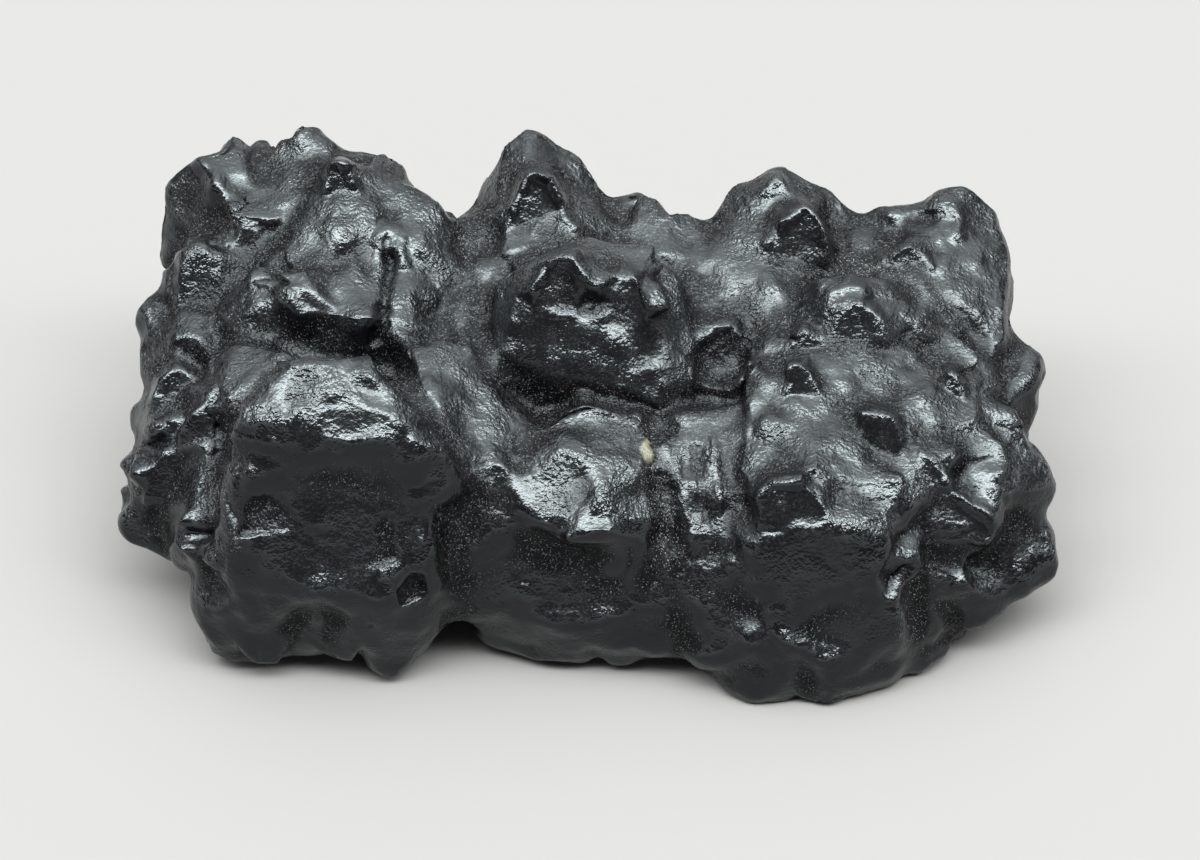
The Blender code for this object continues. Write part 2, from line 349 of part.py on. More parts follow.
# The body inside, and the knobs that the view hides, as (x, y, z, radius) in the stone's own frame.
BODY = {
    "left body": [
        (-19.0, 5.0, 12.0, 4.0), (-19.0, -1.6, 11.0, 4.0), (-12.0, 6.4, 12.0, 4.6),
        (-13.0, -3.6, 8.6, 4.4), (-19.0, 0.6, 7.5, 4.0),
    ],
    "middle body": [
        (-8.0, 4.6, 10.0, 5.5), (0.0, 4.6, 11.0, 5.5), (6.0, 3.6, 9.5, 5.5), (-6.0, -4.4, 8.5, 4.5),
        (4.0, -4.4, 8.0, 4.5),
    ],
    "right body": [
        (10.0, 3.6, 10.0, 5.5), (18.0, 2.6, 9.5, 5.0), (12.0, -6.4, 7.5, 5.0), (19.0, -4.4, 7.5, 4.5),
    ],
}
BACK_KNOBS = {
    "rear crest left": [
        (-22.6, 12.0, 16.6, 1.2), (-20.0, 12.8, 15.0, 1.4), (-23.4, 10.6, 13.4, 1.4),
        (-18.4, 12.6, 16.4, 1.2), (-20.0, 6.0, 13.0, 4.0),
    ],
    "rear pyramid": [
        (-16.6, 13.6, 17.6, 1.0), (-14.6, 13.0, 15.4, 1.3), (-18.0, 12.6, 14.0, 1.3),
        (-13.4, 12.0, 18.0, 1.0), (-15.0, 6.0, 14.0, 4.0),
    ],
    "rear shoulder left": [
        (-23.6, 9.4, 9.6, 1.5), (-21.0, 11.4, 10.6, 1.5), (-22.0, 10.0, 7.0, 1.6), (-19.2, 11.0, 8.2, 1.4),
        (-19.0, 4.0, 9.0, 4.0),
    ],
    "rear boss left": [
        (-16.4, 12.2, 10.0, 1.6), (-14.0, 12.6, 8.2, 1.4), (-17.4, 11.4, 7.0, 1.5),
        (-14.6, 11.0, 11.8, 1.4), (-15.0, 4.0, 9.0, 4.0),
    ],
    "rear knob left": [
        (-10.6, 12.4, 13.0, 1.4), (-8.4, 11.6, 11.4, 1.3), (-11.4, 12.0, 10.4, 1.5),
        (-9.0, 11.2, 15.4, 1.2), (-10.0, 4.0, 11.0, 4.0),
    ],
    "rear low left": [
        (-20.6, 8.2, 4.2, 1.7), (-17.6, 9.2, 4.6, 1.6), (-19.6, 6.6, 2.6, 1.6), (-17.0, 3.0, 8.0, 4.0),
    ],
    "rear low lump": [
        (-12.0, 9.6, 5.0, 1.7), (-9.4, 9.0, 6.2, 1.5), (-10.6, 7.4, 3.6, 1.7), (-11.0, 3.0, 8.0, 4.0),
    ],
    "rear middle crest": [
        (-3.6, 12.4, 17.4, 1.0), (-4.8, 12.6, 15.2, 1.1), (-2.4, 12.8, 14.2, 1.1), (-3.6, 12.0, 12.2, 1.4),
        (-3.0, 5.0, 13.0, 3.5),
    ],
    "rear middle boss": [
        (-5.4, 11.8, 8.4, 1.6), (-3.0, 12.4, 9.6, 1.4), (-4.0, 11.0, 6.0, 1.6), (-1.2, 11.2, 7.6, 1.4),
        (-3.0, 4.0, 9.0, 4.0),
    ],
    "rear middle low": [
        (-4.4, 8.6, 3.8, 1.7), (-1.6, 8.8, 4.6, 1.6), (-3.0, 6.6, 2.4, 1.6), (-2.0, 3.0, 8.0, 4.0),
    ],
    "rear saddle": [
        (2.4, 11.4, 14.4, 1.3), (5.0, 11.2, 15.0, 1.2), (3.6, 11.0, 12.0, 1.5), (6.4, 10.8, 12.8, 1.3),
        (4.0, 4.0, 11.0, 4.0),
    ],
    "rear saddle boss": [
        (3.6, 11.4, 8.2, 1.6), (6.4, 11.0, 9.4, 1.5), (5.0, 10.0, 5.8, 1.6), (5.0, 4.0, 8.0, 4.0),
    ],
    "rear right crest": [
        (10.6, 12.4, 16.0, 1.2), (13.2, 11.8, 15.0, 1.3), (11.4, 12.0, 13.0, 1.4), (8.8, 11.4, 14.4, 1.2),
        (12.0, 5.0, 12.0, 4.0),
    ],
    "rear right boss": [
        (10.4, 11.4, 9.2, 1.6), (12.8, 11.8, 8.0, 1.4), (11.0, 10.2, 6.0, 1.6), (14.4, 10.6, 10.4, 1.3),
        (12.0, 4.0, 9.0, 4.0),
    ],
    "rear corner crest": [
        (20.6, 11.2, 14.2, 1.2), (23.0, 10.2, 12.6, 1.3), (18.2, 10.8, 13.0, 1.3), (21.4, 10.2, 10.6, 1.4),
        (19.0, 4.0, 11.0, 4.0),
    ],
    "rear corner boss": [
        (18.6, 10.4, 8.6, 1.5), (21.6, 9.0, 7.4, 1.5), (17.4, 9.4, 6.0, 1.6), (23.4, 7.6, 9.4, 1.3),
        (18.0, 3.0, 8.0, 4.0),
    ],
    "rear low right": [
        (11.6, 7.8, 3.6, 1.8), (14.6, 8.0, 4.2, 1.7), (13.0, 5.8, 2.4, 1.6), (13.0, 3.0, 8.0, 4.0),
    ],
    "rear low end": [
        (20.4, 6.2, 4.0, 1.7), (22.6, 4.0, 5.0, 1.6), (19.0, 4.6, 2.8, 1.7), (18.0, 2.0, 8.0, 4.0),
    ],
    "left end knob": [
        (-24.8, 5.4, 12.4, 1.4), (-24.8, 3.0, 10.2, 1.5), (-25.2, 7.0, 9.4, 1.3), (-23.8, 5.6, 7.4, 1.6),
        (-19.0, 4.0, 9.0, 4.0),
    ],
    "left end low": [
        (-23.0, 0.6, 5.0, 1.6), (-24.0, 2.4, 7.0, 1.5), (-21.4, -1.6, 3.4, 1.7), (-18.0, 1.0, 8.0, 4.0),
    ],
    "right end knob": [
        (24.8, 3.2, 10.4, 1.3), (25.2, 1.0, 8.8, 1.4), (24.0, 4.2, 7.6, 1.5), (19.0, 2.0, 8.0, 4.0),
    ],
    "right end low": [
        (24.4, -1.8, 6.2, 1.5), (23.2, 1.2, 5.2, 1.5), (24.4, -3.8, 4.6, 1.4), (18.0, 0.0, 7.0, 4.0),
    ],
    "rear left foot": [
        (-16.6, 4.0, 1.1, 1.7), (-14.4, 5.2, 1.4, 1.6), (-18.0, 2.4, 2.0, 1.7), (-13.4, 2.8, 1.7, 1.6),
        (-15.6, 1.2, 1.6, 1.6), (-15.0, 3.0, 8.0, 4.0),
    ],
    "rear middle foot": [
        (1.6, 6.4, 1.2, 1.6), (3.4, 4.8, 1.6, 1.5), (-0.2, 5.0, 1.7, 1.6), (1.4, 3.2, 1.8, 1.5),
        (1.0, 3.0, 8.0, 4.0),
    ],
    "rear right foot": [
        (15.2, 4.4, 1.1, 1.7), (17.4, 3.2, 1.5, 1.6), (13.6, 3.0, 1.7, 1.6), (15.6, 1.4, 1.8, 1.6),
        (15.0, 2.0, 8.0, 4.0),
    ],
    "belly left": [
        (-8.0, 0.0, 3.0, 2.0), (-5.2, 1.6, 2.4, 1.6), (-6.4, -3.0, 3.0, 1.8), (-9.6, 2.8, 2.8, 1.5),
        (-7.0, 0.0, 8.0, 3.0),
    ],
    "belly middle": [
        (-1.0, -3.2, 2.6, 1.8), (1.6, -1.2, 2.2, 1.6), (-2.4, 0.4, 2.8, 1.5), (0.0, 0.0, 8.0, 3.0),
    ],
    "belly right": [
        (8.0, -1.6, 2.6, 2.0), (6.0, 1.0, 2.2, 1.6), (9.8, 1.2, 2.8, 1.6), (10.4, -3.6, 2.4, 1.6),
        (8.0, 0.0, 8.0, 3.0),
    ],
    "belly far left": [
        (-20.4, -4.4, 2.6, 1.6), (-18.6, -2.4, 2.2, 1.5), (-16.6, -5.6, 2.4, 1.6), (-18.0, -2.0, 8.0, 3.0),
    ],
    "belly far right": [
        (19.6, -3.4, 2.2, 1.6), (21.0, -0.6, 3.2, 1.5), (17.8, -0.4, 2.6, 1.4), (18.0, -2.0, 8.0, 3.0),
    ],
}

# Facets pressed into the skin with soft edges, as (across, rise, half width, half height, slope, lean, lift)
FACETS = {
    "big knob face": (0.6, 3.9, 6.84, 4.92, 0.38, 0.0, -1.0),
    "block face": (-15.18, -6.48, 6.9, 4.62, 0.32, 0.0, 0.0),
    "middle face": (-2.04, -9.78, 5.64, 3.0, 0.35, 0.0, 0.0),
    "right face": (13.62, -8.76, 5.7, 3.66, 0.38, 0.0, 0.0),
    "prow lit": (-1.8, -4.08, 2.4, 2.22, -0.15, 0.08, 0.0),
    "beak hollow": (8.28, 2.58, 2.04, 1.8, 0.42, 0.0, -0.5),
    "block brow": (-15.3, -0.42, 5.1, 1.08, 0.02, 0.0, 0.0),
    "low right face": (15.72, -12.66, 4.08, 2.04, 0.45, 0.0, 0.0),
    "corner lit strip": (-21.99, 13.98, 1.59, 1.44, -0.22, -0.12, 0.0),
    "big knob nose": (0.3, 6.36, 1.14, 1.02, -0.35, 0.1, 0.1),
    "back right lit": (11.22, 13.62, 1.38, 0.96, -0.2, 0.0, 0.0),
    "crown lit": (15.6, 7.26, 1.44, 0.6, -0.2, 0.0, 0.0),
    "body lit patch": (10.92, -0.72, 1.32, 1.14, -0.2, 0.0, 0.0),
    "wedge lit": (23.16, -4.26, 1.56, 1.8, -0.25, 0.1, 0.1),
    "low bright bump": (17.88, -10.02, 0.72, 1.2, -0.2, 0.0, 0.2),
}
# Steep faces under an arched edge, in the same order
LEDGES = {
    "corner ledge face": (-20.52, 10.86, 0.84, 0.72, 0.1, 0.0, 0.0),
    "dome tip face": (-14.94, 14.58, 1.02, 1.08, 0.1, 0.0, 0.0),
    "left column face": (-23.76, 8.46, 1.56, 1.68, 0.08, 0.05, 0.0),
    "left side face upper": (-24.0, 4.02, 1.08, 0.72, 0.1, 0.0, 0.0),
    "left side face middle": (-24.96, 2.04, 1.56, 1.02, 0.1, 0.0, 0.0),
    "left side face lower": (-24.9, -0.54, 1.5, 0.72, 0.1, 0.0, 0.0),
    "left side face bottom": (-25.32, -3.72, 1.68, 1.38, 0.3, 0.1, 0.0),
    "block face dent left": (-18.96, -6.06, 1.68, 0.96, 0.1, 0.15, -0.2),
    "block face dent right": (-12.12, -7.68, 0.84, 1.14, 0.2, 0.0, -0.25),
    "block foot dent": (-10.32, -10.5, 0.84, 0.72, 0.2, 0.0, -0.2),
    "back middle face": (-3.18, 13.44, 1.74, 1.5, 0.1, 0.0, 0.0),
    "big knob hollow": (-2.16, 7.8, 1.2, 1.62, 0.15, -0.1, -0.2),
    "beak face": (8.16, 4.89, 0.96, 0.63, 0.1, 0.0, 0.0),
    "saddle knob face": (-5.58, -3.36, 1.14, 0.9, 0.1, 0.0, 0.0),
    "back right face": (12.84, 11.1, 1.68, 1.8, 0.1, 0.0, 0.0),
    "eyebrow face": (19.32, 9.6, 1.32, 0.66, 0.05, 0.0, 0.0),
    "crown face": (16.2, 5.64, 1.8, 1.26, 0.12, 0.0, 0.0),
    "upper tooth face": (12.78, 4.74, 1.02, 0.84, 0.1, 0.0, 0.0),
    "lower tooth face": (12.6, 2.22, 1.2, 1.08, 0.1, 0.0, 0.0),
    "cube tooth face": (17.16, -0.54, 1.68, 1.56, 0.15, 0.0, 0.0),
    "crown ledge face": (12.0, -4.92, 2.4, 1.38, 0.15, 0.0, 0.0),
    "wedge face": (21.36, -5.88, 2.76, 1.38, 0.15, -0.1, 0.0),
    "bump face": (20.28, -3.18, 1.2, 1.08, 0.1, 0.0, 0.0),
    "right hollow": (21.72, 2.22, 0.72, 1.08, 0.1, 0.0, 0.0),
    "big knob right hollow": (1.98, 7.14, 1.38, 0.96, 0.2, 0.1, 0.0),
}

# Ridges raised or grooves cut along a line of (across, rise) places: height, half width, line.
RIDGES = {
    "corner crest": (0.4, 0.5, [(-23.7, 15.48), (-22.5, 13.92), (-21.24, 12.06)]),
    "corner ledge": (0.3, 0.4, [(-21.36, 11.58), (-20.4, 11.88), (-19.08, 11.88)]),
    "back middle arc": (0.35, 0.4, [
        (-5.04, 11.58), (-4.62, 13.5), (-4.08, 14.46), (-3.3, 14.88), (-2.46, 14.22), (-1.68, 12.9),
        (-0.84, 11.34),
    ]),
    "beak brow": (0.3, 0.4, [(6.84, 4.74), (7.32, 5.46), (8.7, 5.58), (9.12, 4.74)]),
    "side ledge": (0.35, 0.45, [(-26.88, -1.5), (-25.8, -2.04), (-24.48, -2.04), (-23.52, -1.74)]),
    "crown ledge rim": (0.3, 0.4, [
        (9.72, -4.98), (10.32, -3.78), (11.4, -3.78), (12.42, -3.9), (12.72, -3.3), (13.44, -3.06),
        (13.92, -3.78), (14.16, -4.86),
    ]),
    "wedge edge": (0.3, 0.45, [(21.48, -4.14), (22.8, -5.34), (24.24, -6.54)]),
    "thin line": (0.25, 0.35, [(19.92, 8.1), (21.0, 6.6), (21.96, 5.1), (22.8, 4.02)]),
    "prow crest": (0.16, 0.55, [
        (-2.52, -1.86), (-1.68, -2.22), (-0.72, -2.7), (0.0, -3.3), (0.6, -4.86), (1.32, -6.54),
    ]),
    "nose cleft": (-0.8, 0.5, [(-12.36, 6.18), (-12.48, 5.34), (-12.84, 4.74)]),
    "dome ring": (0.25, 0.22, [
        (-16.02, 13.62), (-15.96, 14.82), (-15.24, 15.6), (-14.46, 14.94), (-14.22, 13.74),
    ]),
    "nose arc": (0.35, 0.35, [
        (-12.9, 8.82), (-12.72, 10.38), (-12.18, 11.28), (-11.64, 10.5), (-11.34, 9.18),
    ]),
    "nose groove": (-0.55, 0.3, [(-12.12, 9.42), (-12.24, 7.5), (-12.36, 6.3)]),
    "big knob crest left": (0.35, 0.4, [
        (-3.48, 7.26), (-2.94, 9.06), (-1.8, 9.66), (-0.96, 9.42), (-0.36, 8.58), (0.12, 7.74),
    ]),
    "big knob crest right": (0.3, 0.35, [
        (0.72, 7.5), (1.2, 8.28), (2.04, 8.64), (2.88, 7.98), (3.36, 6.66),
    ]),
    "block crest": (0.22, 0.7, [
        (-21.0, -0.9), (-20.28, 0.54), (-19.32, 1.86), (-17.88, 2.94), (-16.2, 3.3), (-14.4, 3.06),
        (-12.0, 2.22),
    ]),
    "back right arc": (0.45, 0.5, [
        (10.68, 10.5), (11.58, 12.06), (12.54, 12.96), (13.56, 12.9), (14.16, 11.82), (14.4, 9.18),
    ]),
    "crest line": (0.35, 0.5, [
        (18.12, 12.06), (20.1, 12.54), (21.9, 12.66), (22.68, 11.94), (22.32, 10.86),
    ]),
    "eyebrow": (0.35, 0.35, [(17.64, 9.54), (18.6, 10.14), (19.68, 10.5), (20.4, 10.14), (20.64, 9.06)]),
    "streak left": (-0.35, 0.3, [(3.6, -2.82), (4.2, -4.5), (4.68, -6.3), (5.04, -8.1)]),
    "streak middle": (0.3, 0.3, [(4.44, -1.5), (5.04, -3.3), (5.64, -5.4), (6.12, -7.98)]),
    "streak between": (-0.3, 0.28, [(6.24, -1.98), (6.6, -3.9), (6.96, -6.3)]),
    "streak right": (0.25, 0.3, [(7.32, -1.5), (7.56, -3.9), (7.8, -6.9), (8.28, -9.0)]),
    "knob foot": (-0.45, 0.4, [
        (-5.04, 1.38), (-3.24, 0.3), (-1.44, 0.66), (0.6, 0.9), (2.4, 0.66), (4.2, 0.18), (6.24, 0.78),
    ]),
}


def from_view(across, rise, near):
    """The point of the stone's frame, in metres, that the tilted view sees at this place."""
    y = rise * math.sin(VIEW_TILT) - near * math.cos(VIEW_TILT)
    z = rise * math.cos(VIEW_TILT) + near * math.sin(VIEW_TILT)
    return (Vector((across, y, z)) + Vector(CENTRE)) * MM


def from_frame(x, y, z):
    return Vector((x, y, z)) * MM


def add_worn_hull(form, corners, place):
    """Adds the hull round balls at these corners, which is a crystal with its edges worn round."""
    hull = bmesh.new()
    for *spot, radius in corners:
        ball = bmesh.ops.create_icosphere(hull, subdivisions=BALL_STEPS, radius=radius * MM)
        bmesh.ops.translate(hull, vec=place(*spot), verts=ball["verts"])
    made = bmesh.ops.convex_hull(hull, input=hull.verts)
    inside = {g for g in made["geom_interior"] + made["geom_unused"] if isinstance(g, bmesh.types.BMVert)}
    bmesh.ops.delete(hull, geom=list(inside), context="VERTS")
    piece = bpy.data.meshes.new("hull")
    hull.to_mesh(piece)
    hull.free()
    form.from_mesh(piece)
    bpy.data.meshes.remove(piece)


def stone_mesh():
    form = bmesh.new()
    for corners in FRONT_KNOBS.values():
        add_worn_hull(form, corners, from_view)
    for corners in [*BODY.values(), *BACK_KNOBS.values()]:
        add_worn_hull(form, corners, from_frame)
    bmesh.ops.recalc_face_normals(form, faces=form.faces)
    mesh = bpy.data.meshes.new("stone")
    form.to_mesh(mesh)
    form.free()
    return mesh


def add_remesh(stone, name):
    fused = stone.modifiers.new(name, "REMESH")
    fused.mode = "VOXEL"
    fused.voxel_size = VOXEL * MM


def add_swell(stone, name, amount):
    swell = stone.modifiers.new(name, "DISPLACE")
    swell.mid_level = 0
    swell.strength = amount * MM


def fused_mesh(form):
    """The knobs run together as one skin, with their creases filled."""
    blank = bpy.data.objects.new("blank", form)
    bpy.context.scene.collection.objects.link(blank)
    add_remesh(blank, "fuse the knobs")
    add_swell(blank, "swell", CREASE_FILLET)
    add_remesh(blank, "close the creases")
    add_swell(blank, "shrink back", -SHRINK_BACK)
    worn = blank.modifiers.new("wear", "SMOOTH")
    worn.iterations = SMOOTH_PASSES
    seen = blank.evaluated_get(bpy.context.evaluated_depsgraph_get())
    fused = bpy.data.meshes.new_from_object(seen)
    bpy.data.objects.remove(blank)
    return fused


def places_of(mesh):
    """The points of a mesh in millimetres, one to a row."""
    places = np.empty(len(mesh.vertices) * 3)
    mesh.vertices.foreach_get("co", places)
    return places.reshape(-1, 3) / MM


def put_places(mesh, places):
    mesh.vertices.foreach_set("co", (places * MM).ravel())
    mesh.update()


def outward_of(mesh):
    outward = np.empty(len(mesh.vertices) * 3)
    mesh.vertex_normals.foreach_get("vector", outward)
    return outward.reshape(-1, 3)


def wander_of(places, scale, seed):
    """A smooth random value at each place that wanders between -1 and 1 over about scale."""
    shift = Vector((seed, seed, seed))
    return np.array([noise.noise(Vector(place) / scale + shift) for place in places])


def sway(skin, scale, reach):
    """Moves the skin about sideways, so that no edge runs straight."""
    places = places_of(skin)
    shifts = [wander_of(places, scale, scale + 7 * axis) for axis in (1, 2, 3)]
    put_places(skin, places + reach * np.column_stack(shifts))


def wander(skin, scale, depth):
    """Lets the skin rise and fall along its normals, less underneath and along the outline."""
    places = places_of(skin)
    outward = outward_of(skin)
    much = depth * np.clip((outward[:, 2] - LEVEL_CALM) / CALM_FADE, CALM_UNDERNEATH, 1)
    much = much * np.clip(np.abs(outward @ TOWARD_EYE) / FACING_FADE, CALM_OUTLINE, 1)
    put_places(skin, places + outward * (wander_of(places, scale, scale) * much)[:, None])


class Carving:
    """The skin as one view sees it, for cutting facets, ledges, ridges and grooves where it shows them."""

    def __init__(self, mesh, turn, tilt):
        self.mesh = mesh
        self.axes = np.array([
            (math.cos(turn), math.sin(turn), 0),
            (-math.sin(turn) * math.sin(tilt), math.cos(turn) * math.sin(tilt), math.cos(tilt)),
            (math.sin(turn) * math.cos(tilt), -math.cos(turn) * math.cos(tilt), math.sin(tilt)),
        ])
        places = places_of(mesh)
        self.across, self.rise, self.near = self.axes @ (places - CENTRE).T
        self.facing = np.clip(self.axes[2] @ outward_of(mesh).T / FACING_FADE, 0, 1)
        self.uneven_across = sum(wander_of(places, scale, 3.3) * much for scale, much in EDGE_UNEVENNESS)
        self.uneven_rise = sum(wander_of(places, scale, 8.8) * much for scale, much in EDGE_UNEVENNESS)

    def level(self, across, rise, near_by=slice(None)):
        """How near the front of the skin stands at this place."""
        apart = np.hypot(self.across[near_by] - across, self.rise[near_by] - rise)
        close = self.near[near_by][apart < max(LEVEL_REACH, apart.min() + LEVEL_REACH / 2)]
        return close[close > close.max() - LEVEL_DEPTH].mean()

    def press(self, weight, flat):
        """Moves the skin towards the flat by the weight, where it shows and no further than CARVE_DEPTH."""
        weight = weight * self.facing * np.clip(CARVE_DEPTH - np.abs(flat - self.near), 0, 1)
        weight = weight * weight * (3 - 2 * weight)
        self.near = self.near + weight * (flat - self.near)

    def facet(self, across, rise, half_width, half_height, slope, lean, lift):
        """Presses an oval of the skin flat, with soft edges. The flat leaves the skin at the oval's foot,
        plus lift, and grows nearer by slope up the view and by lean across it."""
        right = self.across - across
        up = self.rise - rise
        away = np.hypot((right + self.uneven_across) / half_width, (up + self.uneven_rise) / half_height)
        flat = self.level(across, rise - half_height) + lift + slope * (up + half_height) + lean * right
        self.press(np.clip(FACET_SOLID - FACET_FALL * away, 0, 1), flat)

    def ledge(self, across, rise, half_width, half_height, slope, lean, lift):
        """A steep face under a crisp arched edge, which meets the skin below it in a crease."""
        right = self.across - across
        side = np.abs(right + self.uneven_across) / half_width
        up = self.rise - rise
        high = (up + self.uneven_rise) / half_height + 1
        inside = (1 - np.hypot(side, np.maximum(high, 0) / 2)) * min(half_width, half_height)
        flat = self.level(across, rise - half_height) + lift + slope * (up + half_height) + lean * right
        if lift < 0:
            inside = np.minimum(inside, high * half_height)
        else:
            inside = np.minimum(inside, (high + LEDGE_FOOT) * half_height)
            flat = np.maximum(flat, self.near)
        self.press(np.clip(inside / LEDGE_EDGE + 0.5, 0, 1), flat)

    def along(self, half_width, line):
        """How much each point lies under a line of (across, rise) places, from 0 to 1."""
        reach = 2 * half_width + LEVEL_REACH
        xs, ys = np.array(line).T
        window = np.flatnonzero(
            (self.across > xs.min() - reach) & (self.across < xs.max() + reach)
            & (self.rise > ys.min() - reach) & (self.rise < ys.max() + reach)
        )
        right = self.across[window] + self.uneven_across[window] / 2
        up = self.rise[window] + self.uneven_rise[window] / 2
        under = np.zeros(len(window))
        for (x0, y0), (x1, y1) in zip(line, line[1:]):
            steps = max(1, math.ceil(math.hypot(x1 - x0, y1 - y0) / half_width * 2))
            for step in range(steps + 1):
                x = x0 + (x1 - x0) * step / steps
                y = y0 + (y1 - y0) * step / steps
                off = np.hypot(right - x, up - y) / half_width
                profile = np.where(off < 2, np.exp(-off * off), 0)
                profile *= np.clip(CARVE_DEPTH - np.abs(self.level(x, y, window) - self.near[window]), 0, 1)
                under = np.maximum(under, profile)
        gain = np.zeros(len(self.near))
        gain[window] = under
        return gain * self.facing

    def ridge(self, height, half_width, line):
        """Raises the skin along a line, or cuts it where height is negative."""
        self.near = self.near + height * self.along(half_width, line)

    def finish(self):
        put_places(self.mesh, np.column_stack((self.across, self.rise, self.near)) @ self.axes + CENTRE)


def carve_front(skin):
    view = Carving(skin, 0, VIEW_TILT)
    for shape in FACETS.values():
        view.facet(*shape)
    for shape in LEDGES.values():
        view.ledge(*shape)
    for height, half_width, line in RIDGES.values():
        view.ridge(height, half_width, line)
    view.finish()


def carve_side(skin, turn, tilt, reach, count):
    """Facets and short ridges of the kinds that the front shows, strewn over a side that it hides."""
    strew = random.Random(f"{turn} {tilt}")
    view = Carving(skin, math.radians(turn), math.radians(tilt))
    for _ in range(count):
        across = strew.uniform(-reach[0], reach[0])
        rise = strew.uniform(-reach[1], reach[1])
        if np.hypot(view.across - across, view.rise - rise).min() > 1:
            continue
        wide = strew.uniform(*STREWN_WIDTHS)
        high = strew.uniform(*STREWN_HEIGHTS)
        view.facet(across, rise, wide, high, strew.uniform(*STREWN_SLOPES), strew.uniform(*STREWN_LEANS), 0)
        lean = strew.uniform(*BROW_LEANS)
        top = rise + high
        line = [(across - wide, top - lean), (across, top), (across + wide, top + lean)]
        view.ridge(strew.uniform(*BROW_HEIGHTS), BROW_HALF_WIDTH, line)
    view.finish()


def iron_stone():
    material = bpy.data.materials.new("polished_iron_stone")
    material.use_nodes = True
    shader = material.node_tree.nodes["Principled BSDF"]
    shader.inputs["Base Color"].default_value = (0.03, 0.032, 0.034, 1)
    shader.inputs["Roughness"].default_value = 0.25
    shader.inputs["Metallic"].default_value = 0.0
    return material


def main():
    for old in list(bpy.data.objects):
        bpy.data.objects.remove(old)

    parts = bpy.data.collections.new("prophecy_stone")
    cutters = bpy.data.collections.new("cutters")
    for group in (parts, cutters):
        bpy.context.scene.collection.children.link(group)

    floor_form = bmesh.new()
    bmesh.ops.create_cube(floor_form, size=MM)
    bmesh.ops.scale(floor_form, vec=FLOOR_BLOCK, verts=floor_form.verts)
    bmesh.ops.translate(floor_form, vec=(0, 0, -FLOOR_BLOCK[2] / 2 * MM), verts=floor_form.verts)
    floor_mesh = bpy.data.meshes.new("floor_block")
    floor_form.to_mesh(floor_mesh)
    floor_form.free()
    floor_block = bpy.data.objects.new("floor_block", floor_mesh)
    floor_block.hide_render = True
    floor_block.display_type = "WIRE"
    cutters.objects.link(floor_block)

    skin = fused_mesh(stone_mesh())
    for scale, reach in SWAY:
        sway(skin, scale, reach)
    for scale, depth in WANDER:
        wander(skin, scale, depth)
    carve_front(skin)
    for side in HIDDEN_SIDES:
        carve_side(skin, *side)
    skin.materials.clear()
    skin.materials.append(iron_stone())
    stone = bpy.data.objects.new("stone", skin)
    parts.objects.link(stone)
    polish = stone.modifiers.new("polish", "SMOOTH")
    polish.iterations = POLISH_PASSES
    facets = stone.modifiers.new("facets", "DECIMATE")
    facets.ratio = TRIANGLES_KEPT
    flats = stone.modifiers.new("flat feet", "BOOLEAN")
    flats.operation = "DIFFERENCE"
    flats.object = floor_block


main()
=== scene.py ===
import math
import random

import bmesh
import bpy
import numpy as np
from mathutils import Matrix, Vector, noise


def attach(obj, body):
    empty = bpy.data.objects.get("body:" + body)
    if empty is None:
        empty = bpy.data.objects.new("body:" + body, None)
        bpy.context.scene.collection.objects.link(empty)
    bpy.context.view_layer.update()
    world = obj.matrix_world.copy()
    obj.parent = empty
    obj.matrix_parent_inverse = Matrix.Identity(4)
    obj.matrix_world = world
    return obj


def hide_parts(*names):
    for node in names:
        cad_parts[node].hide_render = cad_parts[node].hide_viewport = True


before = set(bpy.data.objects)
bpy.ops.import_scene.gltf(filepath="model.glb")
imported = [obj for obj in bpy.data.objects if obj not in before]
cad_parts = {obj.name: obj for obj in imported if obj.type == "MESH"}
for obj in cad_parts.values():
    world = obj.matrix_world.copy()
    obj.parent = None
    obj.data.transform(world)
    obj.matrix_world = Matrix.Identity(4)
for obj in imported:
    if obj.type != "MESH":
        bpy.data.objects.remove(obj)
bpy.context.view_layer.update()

# Sizes of the stone and its skin, in millimetres
MM = 0.001
VIEW_TILT = math.radians(40)
TOWARD_EYE = (0, -math.cos(VIEW_TILT), math.sin(VIEW_TILT))
CENTRE = (0.0, -3.0, 12.8)
BALL_STEPS = 2
VOXEL = 0.24
CREASE_FILLET = 0.8
SHRINK_BACK = 0.66
SMOOTH_PASSES = 6
TRIANGLES_KEPT = 190000
FLOOR_SIZE = 6

# How the worn skin sways sideways, wanders in and out and slides within itself: over what length, how much
SWAY = ((4.0, 0.45), (1.7, 0.2))
WANDER = ((6.0, 0.4), (3.0, 0.36), (1.5, 0.2))
EDGE_SLIDE = (1.3, 0.35)
ROUGHNESS = ((0.7, 0.045), (0.4, 0.03))
EDGE_UNEVENNESS = ((1.7, 0.45), (0.7, 0.16))
# Where the noise is read for the two ways of an uneven edge, and how far apart for the three axes
EDGE_SEEDS = (3.3, 8.8)
SWAY_APART = 7
SLIDE_APART = 5
# Where and how much the wandering calms, underneath and along the outline
LEVEL_CALM = 0.35
CALM_FADE = 0.5
CALM_UNDERNEATH = 0.4
CALM_OUTLINE = 0.35

# How facets, ledges and ridges are cut
FACING_FADE = 0.35
LEVEL_REACH = 0.45
LEVEL_DEPTH = 1.1
CARVE_DEPTH = 2.4
FACET_SOLID = 1.7
FACET_FALL = 1.4
LEDGE_EDGE = 0.45
LEDGE_FOOT = 0.3
LINE_REACH = 2

# Sides that the front view hides: turn and tilt in degrees, half width and half height, count of facets
HIDDEN_SIDES = (
    (180, 15, (25.0, 10.0), 55),
    (-90, 5, (13.0, 10.0), 22),
    (90, 5, (13.0, 10.0), 22),
    (0, -85, (25.0, 13.0), 45),
)
